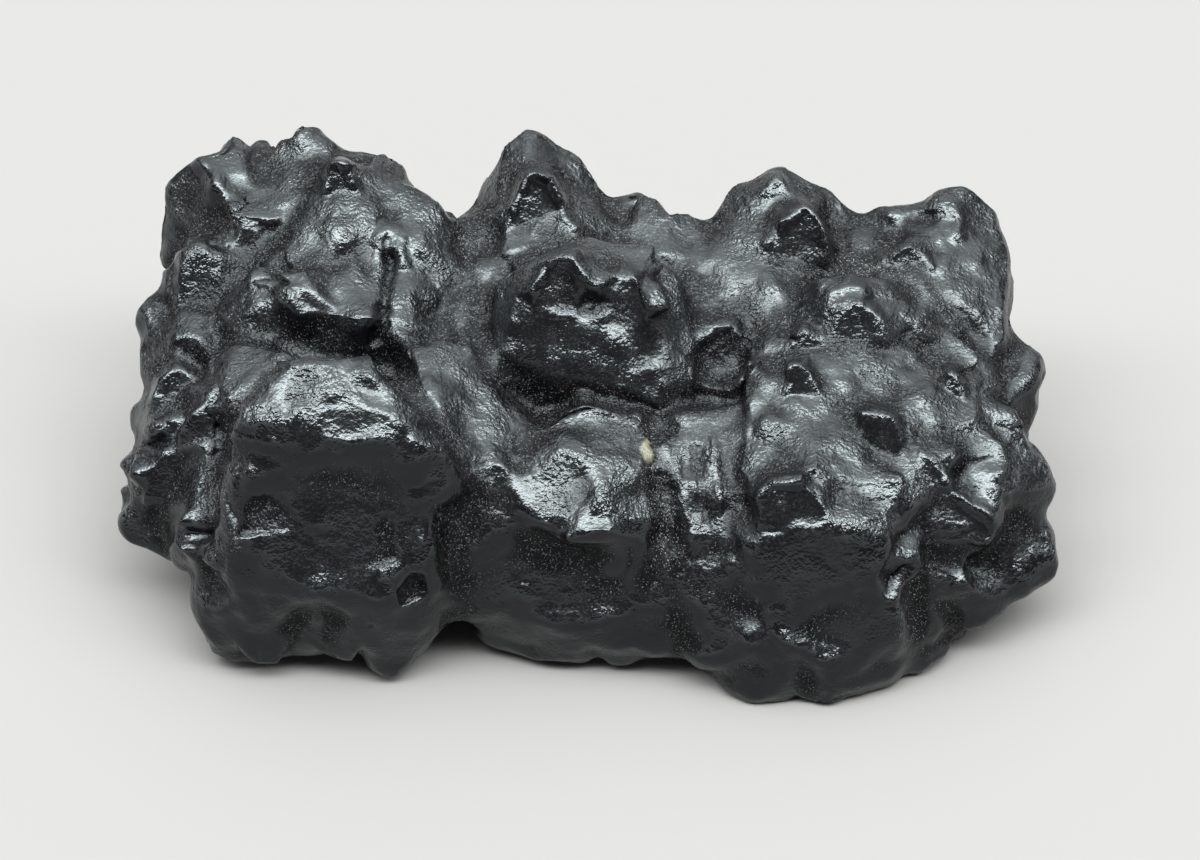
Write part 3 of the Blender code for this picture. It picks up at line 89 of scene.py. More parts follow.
# The facets strewn over those sides, as half sizes and slopes, and the brow over each
STREWN_WIDTHS = (0.8, 2.2)
STREWN_HEIGHTS = (0.7, 1.6)
STREWN_SLOPES = (-0.6, 0.4)
STREWN_LEANS = (-0.4, 0.4)
STREWN_FROM_SKIN = 1
BROW_LEANS = (-1, 1)
BROW_HEIGHTS = (-0.35, 0.4)
BROW_HALF_WIDTH = 0.5

# A pale grain lodged at the head of the crevice: height, half width, line
GRAIN = (0.35, 0.36, [(3.4, -1.7), (3.55, -2.4)])
GRAIN_FROM = 0.4
GRAIN_EDGE = 5.0
# How hollows and open faces are told apart from the rest
HOLLOW_PASSES = 40
HOLLOW_DEPTH = 0.16
OPEN_FROM = 0.22
OPEN_FADE = 0.4

# Colours of the finish and the floor
SKIN_DARK = (0.0025, 0.0025, 0.003, 1)
SKIN_WORN = (0.005, 0.005, 0.006, 1)
RUST_BROWN = (0.010, 0.006, 0.005, 1)
# Blue-grey laid on upward faces: part dusty haze, part painted sheen of the light from above
HAZE_AND_SHEEN_GREY = (0.085, 0.098, 0.102, 1)
# Pale specks: part lint, part painted glints of the rough skin
LINT_AND_GLINT_GREY = (0.40, 0.42, 0.41, 1)
GRAIN_OLIVE = (0.17, 0.17, 0.11, 1)
GRAIN_TAN = (0.36, 0.35, 0.24, 1)
SHINE_TINT = (0.86, 0.97, 1.0, 1)
FLOOR_GREY = (0.42, 0.42, 0.415, 1)
BLACK = (0, 0, 0, 1)
STONE_IOR = 1.95
RELIEF_DEPTH = 0.00004
FLOOR_ROUGHNESS = 0.9

# Every knob is a hull round worn corners. Each corner is (across, rise, near, radius) in millimetres, as the
# stone is seen from VIEW_TILT above its front: across to the right, rise up the view, near towards the eye.
# The last corner of each knob is its root, buried in the body.
FRONT_KNOBS = {
    "back left corner": [
        (-23.6, 15.2, -6.9, 0.5), (-21.6, 15.3, -7.2, 0.6), (-22.6, 13.8, -6.2, 0.5),
        (-21.3, 12.0, -5.6, 0.5), (-25.2, 13.6, -8.2, 0.6), (-25.4, 9.6, -9.0, 0.8), (-24.2, 10.8, -7.5, 0.7),
        (-22.2, 10.6, -6.4, 0.6), (-20.4, 12.6, -5.8, 0.6), (-20.0, 9.0, -11.0, 3.0),
    ],
    "left hollow floor": [
        (-21.4, 10.4, -5.8, 1.0), (-19.8, 9.4, -5.0, 1.1), (-21.0, 7.8, -4.6, 1.1), (-20.0, 6.8, -3.6, 1.0),
        (-22.0, 6.6, -4.4, 1.0), (-20.0, 8.0, -9.0, 3.0),
    ],
    "back left nub": [
        (-21.3, 15.5, -8.4, 0.8), (-20.4, 15.7, -8.5, 0.9), (-19.2, 15.6, -8.5, 0.8),
        (-19.5, 12.0, -11.0, 2.0),
    ],
    "back left pyramid": [
        (-17.3, 16.9, -7.2, 0.7), (-19.4, 15.3, -7.4, 0.5), (-14.9, 15.2, -7.6, 0.7),
        (-17.2, 13.4, -5.6, 0.9), (-18.4, 11.6, -5.0, 1.0), (-19.6, 10.6, -5.0, 1.0),
        (-17.4, 11.0, -11.0, 3.0),
    ],
    "lump behind the dome": [
        (-14.0, 15.3, -7.2, 0.9), (-12.4, 14.8, -7.4, 0.9), (-11.6, 13.6, -7.0, 1.0),
        (-13.0, 10.0, -10.0, 3.0),
    ],
    "dome": [
        (-15.0, 14.9, -4.6, 0.7), (-15.4, 13.4, -3.8, 0.8), (-16.6, 12.0, -3.8, 0.9),
        (-17.8, 10.0, -3.2, 1.0), (-19.2, 8.0, -2.8, 1.0), (-11.6, 13.0, -4.8, 1.0), (-10.2, 12.0, -4.6, 1.2),
        (-9.2, 10.4, -4.0, 1.2), (-8.6, 8.0, -3.2, 1.0), (-9.4, 6.0, -2.0, 0.9), (-12.4, 9.5, -2.8, 1.4),
        (-12.0, 5.9, -0.1, 0.5), (-13.4, 6.1, 0.3, 0.5), (-15.2, 6.2, 0.4, 0.5), (-16.9, 6.0, 0.0, 0.5),
        (-12.4, 3.4, -1.6, 0.8), (-16.0, 3.4, -1.6, 0.8), (-9.8, 3.6, -0.6, 0.9), (-18.6, 5.0, -1.6, 0.8),
        (-13.5, 5.0, -9.0, 3.6),
    ],
    "dome ledge": [
        (-17.1, 8.2, -0.2, 0.4), (-18.1, 6.9, 0.2, 0.4), (-17.4, 6.2, 0.5, 0.4), (-15.8, 6.8, 0.4, 0.4),
        (-15.0, 6.0, 0.5, 0.4), (-16.4, 7.4, 0.2, 0.4), (-16.4, 6.0, -5.0, 2.0),
    ],
    "valley behind the saddle": [
        (-7.4, 11.0, -6.6, 1.4), (-6.6, 8.6, -5.0, 1.4), (-6.4, 5.6, -2.6, 1.3), (-7.6, 3.4, -0.6, 1.3),
        (-5.4, 11.2, -6.6, 1.2), (-6.5, 6.0, -10.0, 3.0),
    ],
    "left saddle lump": [
        (-20.4, 6.6, -1.9, 0.7), (-18.4, 6.4, -1.6, 0.7), (-18.2, 4.8, -1.2, 0.7), (-20.8, 4.8, -1.6, 0.8),
        (-19.6, 4.2, -1.2, 0.7), (-21.6, 6.0, -2.6, 0.8), (-19.4, 7.8, -1.9, 0.8), (-18.3, 7.2, -1.1, 0.6),
        (-19.0, 4.0, -5.0, 3.0),
    ],
    "left saddle slope": [
        (-20.8, 3.4, 0.2, 0.8), (-18.6, 2.8, 1.4, 0.8), (-21.0, 0.8, 2.4, 0.9), (-22.0, 2.4, -0.6, 0.8),
        (-19.8, 0.0, -2.0, 3.0),
    ],
    "left column top": [
        (-23.7, 10.2, -3.9, 0.5), (-25.2, 9.2, -4.6, 0.5), (-25.3, 7.4, -4.6, 0.6), (-22.4, 9.0, -4.0, 0.5),
        (-22.2, 7.2, -4.0, 0.6), (-23.6, 6.6, -4.2, 0.6), (-22.0, 7.0, -8.0, 2.5),
    ],
    "left side knob": [(-26.2, 6.0, -5.4, 1.3), (-25.8, 4.6, -4.6, 1.2), (-23.0, 6.0, -8.0, 2.0)],
    "left knob upper": [
        (-24.2, 5.6, -3.2, 0.7), (-23.4, 5.5, -3.0, 0.7), (-24.6, 4.4, -2.8, 0.7), (-23.2, 4.2, -2.4, 0.8),
        (-22.0, 5.0, -6.0, 2.0),
    ],
    "left knob middle": [
        (-25.4, 3.6, -3.6, 0.8), (-24.4, 3.2, -2.8, 0.8), (-25.8, 2.0, -3.2, 0.8), (-24.6, 1.6, -2.4, 0.8),
        (-26.6, 3.0, -4.6, 0.8), (-22.0, 2.0, -7.0, 3.0),
    ],
    "left knob lower": [
        (-25.6, 1.2, -2.4, 0.8), (-23.8, 1.2, -1.4, 0.8), (-26.0, -0.8, -1.8, 0.9), (-23.8, -0.8, -0.6, 0.9),
        (-27.0, -0.2, -3.6, 1.0), (-22.0, 0.0, -6.0, 3.0),
    ],
    "lower left lump": [
        (-26.2, -2.4, -1.6, 0.7), (-24.0, -2.8, -0.4, 0.7), (-27.4, -3.2, -3.0, 1.0),
        (-27.2, -6.4, -3.0, 1.2), (-25.0, -7.4, -2.6, 1.1), (-23.6, -7.6, -2.4, 1.0),
        (-24.2, -5.2, -1.0, 1.2), (-26.2, -4.6, -1.6, 1.2), (-22.0, -3.0, -7.0, 3.0),
    ],
    "left crack hollow": [
        (-23.2, 0.6, -0.4, 1.0), (-24.2, -2.4, 0.0, 0.9), (-22.4, -3.0, 1.6, 1.2), (-22.6, -5.6, 1.9, 1.2),
        (-24.2, -5.6, -0.2, 1.2), (-24.0, -8.2, -0.4, 1.3), (-22.6, -8.6, 1.5, 1.3), (-22.2, 0.4, 1.4, 1.0),
        (-21.0, -3.0, -4.0, 3.0),
    ],
    "front left block": [
        (-17.4, 2.6, 7.75, 0.5), (-15.0, 2.9, 7.65, 0.5), (-13.2, 2.3, 7.75, 0.5), (-18.4, 1.6, 7.7, 0.6),
        (-19.8, 0.0, 7.4, 0.7), (-20.8, -1.6, 6.9, 0.7), (-18.2, 0.2, 8.4, 0.5), (-15.6, 0.6, 8.45, 0.5),
        (-12.6, 0.4, 8.35, 0.5), (-10.6, -0.6, 7.2, 0.7), (-19.6, -1.5, 8.0, 0.6), (-17.6, -1.3, 8.5, 0.5),
        (-16.2, -1.9, 8.7, 0.5), (-14.6, -1.3, 8.5, 0.5), (-12.8, -1.6, 8.4, 0.6), (-10.8, -1.7, 7.9, 0.7),
        (-9.2, -2.9, 7.1, 0.7), (-8.2, -4.0, 6.4, 0.8), (-20.6, -5.0, 6.0, 1.2), (-17.0, -4.6, 7.2, 1.2),
        (-11.0, -5.0, 6.8, 1.2), (-15.0, -2.6, -3.0, 4.5),
    ],
    "block waist": [
        (-20.4, -6.6, 5.6, 1.4), (-17.6, -6.0, 6.8, 1.2), (-14.0, -6.2, 6.8, 1.2), (-10.6, -7.0, 5.8, 1.4),
        (-20.2, -9.2, 3.4, 1.6), (-10.0, -9.4, 3.6, 1.5), (-15.0, -10.0, 4.0, 1.5), (-15.0, -4.0, -3.0, 5.0),
    ],
    "left foot": [
        (-22.4, -9.6, 1.0, 1.4), (-22.6, -11.4, 0.6, 1.3), (-21.2, -13.4, -1.0, 1.4),
        (-18.5, -13.2, -0.4, 1.5), (-19.0, -10.0, 3.0, 1.8), (-18.0, -8.0, -5.0, 3.0),
    ],
    "tooth foot": [
        (-12.2, -13.9, -0.6, 1.6), (-14.0, -12.2, 1.6, 1.3), (-10.0, -12.0, 1.4, 1.3),
        (-12.4, -9.8, 4.2, 1.5), (-9.0, -9.6, 2.2, 1.5), (-12.0, -8.0, -5.0, 3.0),
    ],
    "lump between the feet": [
        (-16.2, -11.2, 2.2, 1.4), (-17.6, -13.2, -0.4, 1.3), (-15.6, -13.0, 0.0, 1.3),
        (-16.0, -9.0, -3.0, 3.0),
    ],
    "back middle knob": [
        (-3.3, 16.2, -6.8, 0.9), (-4.6, 15.5, -6.8, 0.9), (-1.7, 15.4, -6.8, 0.9), (-0.4, 13.8, -7.0, 0.8),
        (-6.2, 12.6, -7.2, 0.8), (-3.3, 15.0, -5.4, 0.5), (-4.6, 13.8, -5.3, 0.5), (-2.0, 13.8, -5.3, 0.5),
        (-5.4, 11.6, -4.8, 0.6), (-0.9, 11.4, -4.8, 0.6), (-3.2, 9.0, -10.0, 3.5),
    ],
    "back middle lobe": [
        (-3.2, 14.3, -5.0, 0.4), (-3.9, 12.8, -4.6, 0.5), (-2.5, 12.8, -4.6, 0.5), (-4.8, 11.0, -4.3, 0.6),
        (-1.4, 11.0, -4.3, 0.6), (-4.6, 9.6, -3.6, 0.8), (-1.4, 9.6, -3.4, 0.8), (-3.2, 9.0, -9.0, 3.0),
    ],
    "back middle valley": [
        (-6.0, 12.0, -6.7, 0.9), (-5.8, 10.0, -5.4, 1.0), (-6.2, 8.0, -4.2, 1.0), (-0.4, 11.4, -5.8, 1.1),
        (1.0, 11.2, -6.0, 1.1), (0.4, 10.2, -4.8, 1.0), (-0.5, 9.6, -4.2, 1.0), (0.5, 8.0, -10.0, 3.0),
    ],
    "back middle bump": [
        (2.0, 12.6, -7.4, 0.9), (3.0, 12.5, -7.4, 0.9), (0.8, 12.6, -7.6, 0.9), (2.0, 9.0, -10.0, 2.5),
    ],
    "back plateau": [
        (3.0, 11.2, -5.8, 0.8), (5.4, 11.0, -5.8, 0.8), (7.2, 10.8, -6.0, 0.8), (1.0, 10.2, -5.0, 0.8),
        (4.2, 9.0, -4.4, 0.9), (7.0, 8.6, -4.2, 0.9), (4.0, 7.0, -9.0, 3.0),
    ],
    "big knob": [
        (-4.7, 7.7, 0.2, 0.7), (-2.8, 8.9, 0.4, 0.6), (0.0, 9.8, -0.4, 0.7), (2.6, 9.2, -0.4, 0.8),
        (4.2, 8.1, -0.4, 0.8), (5.2, 6.0, -0.4, 0.8), (-2.8, 8.7, 1.9, 0.4), (-1.2, 9.2, 1.9, 0.4),
        (-4.0, 6.8, 1.8, 0.5), (-0.4, 8.4, 2.3, 0.4), (2.6, 8.1, 1.9, 0.4), (3.2, 6.9, 1.8, 0.5),
        (-4.6, 4.0, 0.9, 1.0), (-2.0, 1.8, 0.2, 1.2), (1.6, 1.0, 0.4, 1.2), (3.6, 0.6, 0.4, 1.1),
        (5.6, 1.6, -0.2, 1.0), (0.0, 4.0, -6.0, 4.5),
    ],
    "dusty plateau": [
        (5.8, 8.0, -3.2, 0.6), (6.8, 6.4, -2.4, 0.6), (9.0, 6.8, -2.8, 0.7), (10.2, 7.6, -3.4, 0.8),
        (8.0, 9.0, -4.2, 0.9), (8.0, 6.0, -8.0, 3.0),
    ],
    "little beak": [
        (7.2, 5.0, -1.2, 0.6), (8.4, 5.2, -1.2, 0.6), (8.8, 4.4, -1.4, 0.6), (7.4, 4.2, -1.2, 0.5),
        (8.0, 5.0, -5.0, 2.0),
    ],
    "beak hollow": [
        (7.4, 3.4, -2.4, 1.2), (9.4, 3.4, -2.2, 1.2), (8.4, 1.4, -1.2, 1.2), (6.6, 1.4, -1.0, 1.0),
        (8.0, 2.0, -6.0, 3.0),
    ],
    "saddle": [
        (-10.4, 3.4, 2.0, 0.9), (-7.6, 3.2, 1.2, 0.9), (-9.0, 0.6, 4.2, 0.9), (-6.2, 0.0, 3.2, 0.9),
        (-8.4, -2.4, 5.4, 0.8), (-7.4, -3.6, 5.4, 0.7), (-5.0, -2.4, 4.4, 0.8), (-4.0, -1.1, 2.6, 0.8),
        (-6.0, -2.4, -4.0, 3.6),
    ],
    "saddle knob": [
        (-6.6, -2.6, 4.9, 0.5), (-5.4, -2.5, 4.7, 0.5), (-6.0, -4.4, 5.0, 0.7), (-6.0, -3.0, 0.0, 2.0),
    ],
    "under the prow": [
        (-2.4, -8.6, 3.6, 1.3), (1.4, -8.6, 4.0, 1.3), (-2.2, -10.8, 1.6, 1.6), (2.0, -10.8, 1.8, 1.6),
        (0.0, -6.0, -4.0, 4.0),
    ],
    "middle underside": [
        (-5.6, -12.6, -1.6, 1.5), (-3.0, -13.2, -1.4, 1.5), (0.6, -13.2, -0.8, 1.6), (4.0, -13.0, 0.0, 1.6),
        (7.0, -12.6, 0.0, 1.6), (-2.0, -11.0, 2.0, 1.5), (4.0, -11.0, 2.0, 1.5), (0.0, -8.0, -4.0, 4.0),
    ],
    "front recess": [
        (-7.4, -5.4, 4.2, 1.1), (-5.4, -6.0, 4.2, 1.1), (-7.8, -8.6, 2.6, 1.4), (-4.0, -8.4, 3.2, 1.4),
        (-6.8, -11.0, 0.4, 1.6), (-6.0, -6.0, -5.0, 4.0),
    ],
    "lump by the crevice": [
        (5.4, -0.9, 1.8, 0.9), (7.4, -0.5, 1.0, 0.9), (6.0, -3.0, 3.2, 0.8), (5.8, -4.0, 3.8, 0.8),
        (7.6, -5.4, 4.0, 0.8), (8.6, -2.6, 2.8, 0.9), (6.0, -7.0, 3.7, 0.9), (7.8, -7.4, 3.8, 1.0),
        (6.4, -3.0, -3.0, 3.0),
    ],
    "crevice foot lump": [
        (7.2, -8.4, 3.6, 0.9), (8.4, -9.0, 3.5, 1.1), (6.4, -9.8, 2.9, 1.2), (7.6, -11.8, 2.2, 1.5),
        (9.2, -12.4, 2.2, 1.6), (6.4, -7.0, -2.0, 3.0),
    ],
    "back right knob": [
        (11.3, 14.1, -6.4, 0.9), (9.6, 13.2, -6.6, 1.0), (8.6, 11.8, -6.4, 0.9), (14.2, 12.8, -6.8, 0.9),
        (15.4, 11.2, -6.8, 0.8), (11.2, 12.6, -4.8, 0.7), (9.0, 10.2, -4.8, 1.0), (10.6, 9.0, -3.8, 0.9),
        (12.0, 8.0, -10.0, 3.5),
    ],
    "back right lobe": [
        (13.0, 12.4, -4.8, 0.5), (12.4, 10.6, -4.6, 0.6), (14.0, 10.6, -4.7, 0.6), (12.0, 8.8, -3.8, 0.8),
        (14.0, 8.9, -4.2, 0.8), (12.0, 7.4, -2.8, 0.8), (10.6, 8.6, -3.8, 0.8), (12.0, 8.0, -8.0, 3.0),
    ],
    "back right slope": [
        (10.0, 10.4, -5.0, 1.0), (10.0, 8.0, -3.6, 1.0), (10.8, 5.8, -2.0, 0.9), (11.8, 4.8, -1.2, 0.9),
        (9.6, 5.6, -2.4, 0.9), (11.0, 7.0, -9.0, 3.0),
    ],
    "back right valley": [
        (16.2, 10.8, -7.0, 1.1), (15.6, 8.8, -4.6, 1.2), (17.0, 8.2, -4.2, 1.2), (18.4, 8.6, -4.6, 1.2),
        (14.6, 7.8, -3.6, 1.0), (19.0, 7.6, -3.7, 1.0), (19.8, 6.4, -2.8, 1.0), (20.6, 4.4, -1.8, 1.0),
        (19.0, 5.0, -1.2, 0.9), (17.0, 7.0, -10.0, 3.0),
    ],
    "back right corner": [
        (22.6, 12.8, -6.6, 0.9), (20.4, 12.3, -6.6, 0.8), (18.0, 11.4, -6.8, 0.8), (24.0, 11.8, -6.8, 0.9),
        (24.4, 10.4, -6.8, 0.9), (24.2, 6.2, -5.6, 0.9), (21.9, 11.4, -5.2, 0.7), (19.8, 10.9, -5.4, 0.7),
        (22.8, 9.6, -4.7, 0.7), (23.0, 6.8, -3.4, 0.8), (23.8, 4.6, -3.0, 0.9), (21.0, 7.4, -3.3, 0.9),
        (21.0, 7.0, -9.0, 3.5),
    ],
    "back right eyebrow": [
        (19.7, 10.2, -4.3, 0.45), (18.6, 9.8, -4.5, 0.45), (20.2, 9.6, -4.2, 0.45), (19.6, 8.7, -4.0, 0.6),
        (18.6, 8.6, -4.2, 0.6), (20.6, 8.3, -3.9, 0.6), (19.5, 7.5, -7.5, 2.0),
    ],
    "right crown": [
        (12.8, 5.6, -1.0, 0.7), (14.0, 7.4, -1.4, 0.8), (15.4, 7.6, -1.2, 0.7), (17.4, 7.2, -1.4, 0.8),
        (18.8, 6.0, -1.4, 0.7), (16.3, 6.9, -0.3, 0.4), (14.8, 6.2, 0.0, 0.5), (17.7, 6.0, -0.2, 0.5),
        (14.6, 5.0, 0.4, 0.5), (17.9, 4.9, 0.1, 0.5), (16.2, 4.3, 0.3, 0.6), (16.0, 4.0, -6.0, 3.5),
    ],
    "right body": [
        (10.6, 3.6, 0.2, 1.0), (11.4, 1.8, 1.2, 1.1), (10.0, -0.6, 2.6, 1.1), (9.8, -3.2, 4.2, 0.9),
        (15.0, 3.4, 0.0, 1.2), (18.6, 3.2, -0.6, 1.2), (20.6, 1.0, 0.4, 1.3), (21.0, -1.6, 1.6, 1.2),
        (19.6, -4.2, 3.4, 1.0), (16.5, -4.2, 4.8, 0.8), (12.0, -3.6, 5.2, 0.7), (13.6, -3.2, 5.2, 0.7),
        (13.0, -3.0, -4.0, 4.2),
    ],
    "lower terrace": [
        (15.6, -5.0, 5.3, 0.8), (18.4, -5.2, 4.6, 0.8), (20.0, -4.6, 3.3, 0.8), (16.6, -8.0, 4.2, 1.2),
        (19.0, -8.4, 3.0, 1.2), (17.0, -4.4, -3.0, 3.6),
    ],
    "crown ledge": [
        (10.0, -3.7, 4.8, 0.6), (11.0, -3.8, 5.5, 0.5), (12.0, -4.3, 5.9, 0.5), (13.2, -3.5, 5.7, 0.45),
        (13.8, -4.3, 5.6, 0.45), (10.2, -5.2, 5.2, 0.6), (13.2, -5.3, 5.6, 0.6), (12.0, -4.4, 0.0, 3.0),
    ],
    "right face": [
        (9.4, -6.6, 4.2, 1.1), (13.8, -6.8, 4.8, 1.1), (16.2, -7.4, 4.2, 1.2), (9.2, -9.8, 3.0, 1.5),
        (12.0, -10.4, 4.0, 1.5), (15.6, -9.8, 3.4, 1.4), (12.8, -12.8, 3.0, 1.6), (10.2, -13.6, 1.8, 1.6),
        (12.0, -7.0, -3.0, 4.0),
    ],
    "low fill": [
        (9.6, -11.4, 2.6, 1.5), (7.4, -13.0, 0.6, 1.5), (16.8, -9.6, 3.8, 1.4), (17.6, -12.4, 1.8, 1.6),
        (14.0, -12.6, 2.6, 1.6), (12.0, -7.0, -3.0, 4.0),
    ],
    "right crease": [
        (19.4, -6.4, 2.8, 1.1), (19.6, -9.0, 2.0, 1.1), (19.8, -11.6, 0.6, 1.2), (19.0, -8.0, -4.0, 3.0),
    ],
    "speckled bump": [(21.6, -2.6, 3.0, 0.8), (20.6, -3.0, 3.4, 0.7), (21.0, -3.0, -3.0, 3.0)],
    "right shoulder": [
        (20.6, 7.2, -3.0, 0.5), (22.6, 4.4, -2.4, 0.5), (23.6, 2.0, -1.6, 0.9), (22.0, 1.0, 0.0, 0.9),
        (22.0, 3.0, -6.0, 3.0),
    ],
    "shoulder fill": [
        (22.4, 0.4, 0.0, 1.3), (23.4, -1.8, 0.2, 1.3), (21.8, -2.8, 1.8, 1.2), (21.0, -2.0, -5.0, 3.0),
    ],
    "right side knob": [
        (26.2, 2.6, -4.0, 1.2), (26.4, 1.2, -4.0, 1.1), (25.9, -1.0, -3.6, 1.0), (25.0, 3.4, -4.6, 1.0),
        (24.6, 1.0, -2.6, 1.2), (22.0, 1.0, -8.0, 3.0),
    ],
    "right side lump": [
        (26.2, -3.0, -0.6, 1.2), (26.7, -4.5, -1.0, 1.1), (26.2, -6.0, -1.0, 1.2), (24.4, -1.6, 0.2, 1.0),
        (24.6, -4.4, 1.6, 0.9), (22.0, -3.0, -5.0, 3.0),
    ],
    "wedge": [
        (21.8, -4.0, 2.8, 0.5), (23.8, -6.2, 2.2, 0.6), (24.4, -4.4, 1.2, 0.7), (20.4, -6.6, 3.0, 0.8),
        (23.0, -7.6, 1.8, 0.8), (21.0, -5.0, -3.0, 3.0),
    ],
    "bump by the wedge": [
        (20.0, -2.0, 2.6, 0.7), (21.0, -2.2, 2.2, 0.6), (20.2, -3.6, 2.8, 0.7), (20.5, -2.0, -2.0, 2.0),
    ],
    "low right lump": [
        (24.0, -10.9, -1.4, 1.2), (22.2, -11.8, -1.2, 1.2), (21.6, -9.4, 1.2, 1.3), (21.0, -9.0, -5.0, 2.4),
    ],
    "bright bump": [(17.8, -10.2, 3.6, 0.8), (17.2, -10.4, 3.8, 0.8), (17.6, -9.0, 0.0, 2.0)],
    "right foot": [
        (18.2, -13.8, 0.4, 1.3), (17.4, -15.2, 0.0, 1.2), (14.8, -15.8, 1.0, 1.3), (13.6, -12.8, 3.2, 1.5),
        (17.0, -12.0, 2.4, 1.4), (14.6, -9.6, -3.6, 3.0),
    ],
    "right foot inner": [
        (11.2, -15.6, 0.6, 1.4), (9.0, -15.6, 0.4, 1.4), (9.6, -12.8, 2.2, 1.5), (12.2, -12.8, 2.8, 1.4),
        (10.4, -9.6, -3.4, 2.8),
    ],
    "foot behind": [(20.4, -13.8, -1.8, 1.0), (19.6, -14.6, -1.1, 0.9), (19.0, -10.0, -4.0, 2.2)],
    "lump left of the right foot": [(7.6, -13.6, 1.4, 1.6), (9.6, -13.0, 2.6, 1.5), (8.0, -9.4, -3.6, 2.6)],
    "prow": [
        (-2.0, -1.8, 4.2, 0.5), (-0.6, -2.5, 4.9, 0.5), (0.4, -4.0, 5.7, 0.5), (0.9, -5.4, 6.2, 0.5),
        (0.9, -6.5, 6.4, 0.5), (-4.0, -2.8, 4.2, 0.8), (-4.5, -4.5, 4.8, 0.6), (-3.6, -5.7, 5.4, 0.5),
        (-1.4, -6.9, 6.3, 0.5), (2.6, -3.4, 4.4, 0.8), (2.8, -6.0, 4.6, 0.8), (2.6, -7.6, 4.4, 0.8),
        (2.2, -1.3, 2.6, 0.9), (-0.5, -1.1, 2.4, 0.9), (-0.5, -3.6, -3.0, 3.6),
    ],
    "crevice floor": [
        (3.8, -2.6, 3.4, 0.7), (4.4, -6.0, 3.6, 0.8), (4.6, -8.8, 3.0, 1.0), (4.8, -11.0, 2.0, 1.3),
        (4.5, -6.0, -4.0, 3.0),
    ],
    "far right knob": [
        (26.8, -7.8, -1.7, 1.1), (27.0, -9.0, -1.7, 1.1), (26.2, -5.8, -2.2, 1.1), (25.0, -5.4, -0.6, 1.2),
        (25.6, -9.7, -1.0, 1.2), (24.6, -8.0, 0.0, 1.2), (22.0, -7.0, -6.0, 3.0),
    ],
    "foot behind fill": [(19.6, -12.6, 0.2, 1.3), (20.2, -11.0, 0.6, 1.2), (19.0, -9.0, -3.0, 2.0)],
}

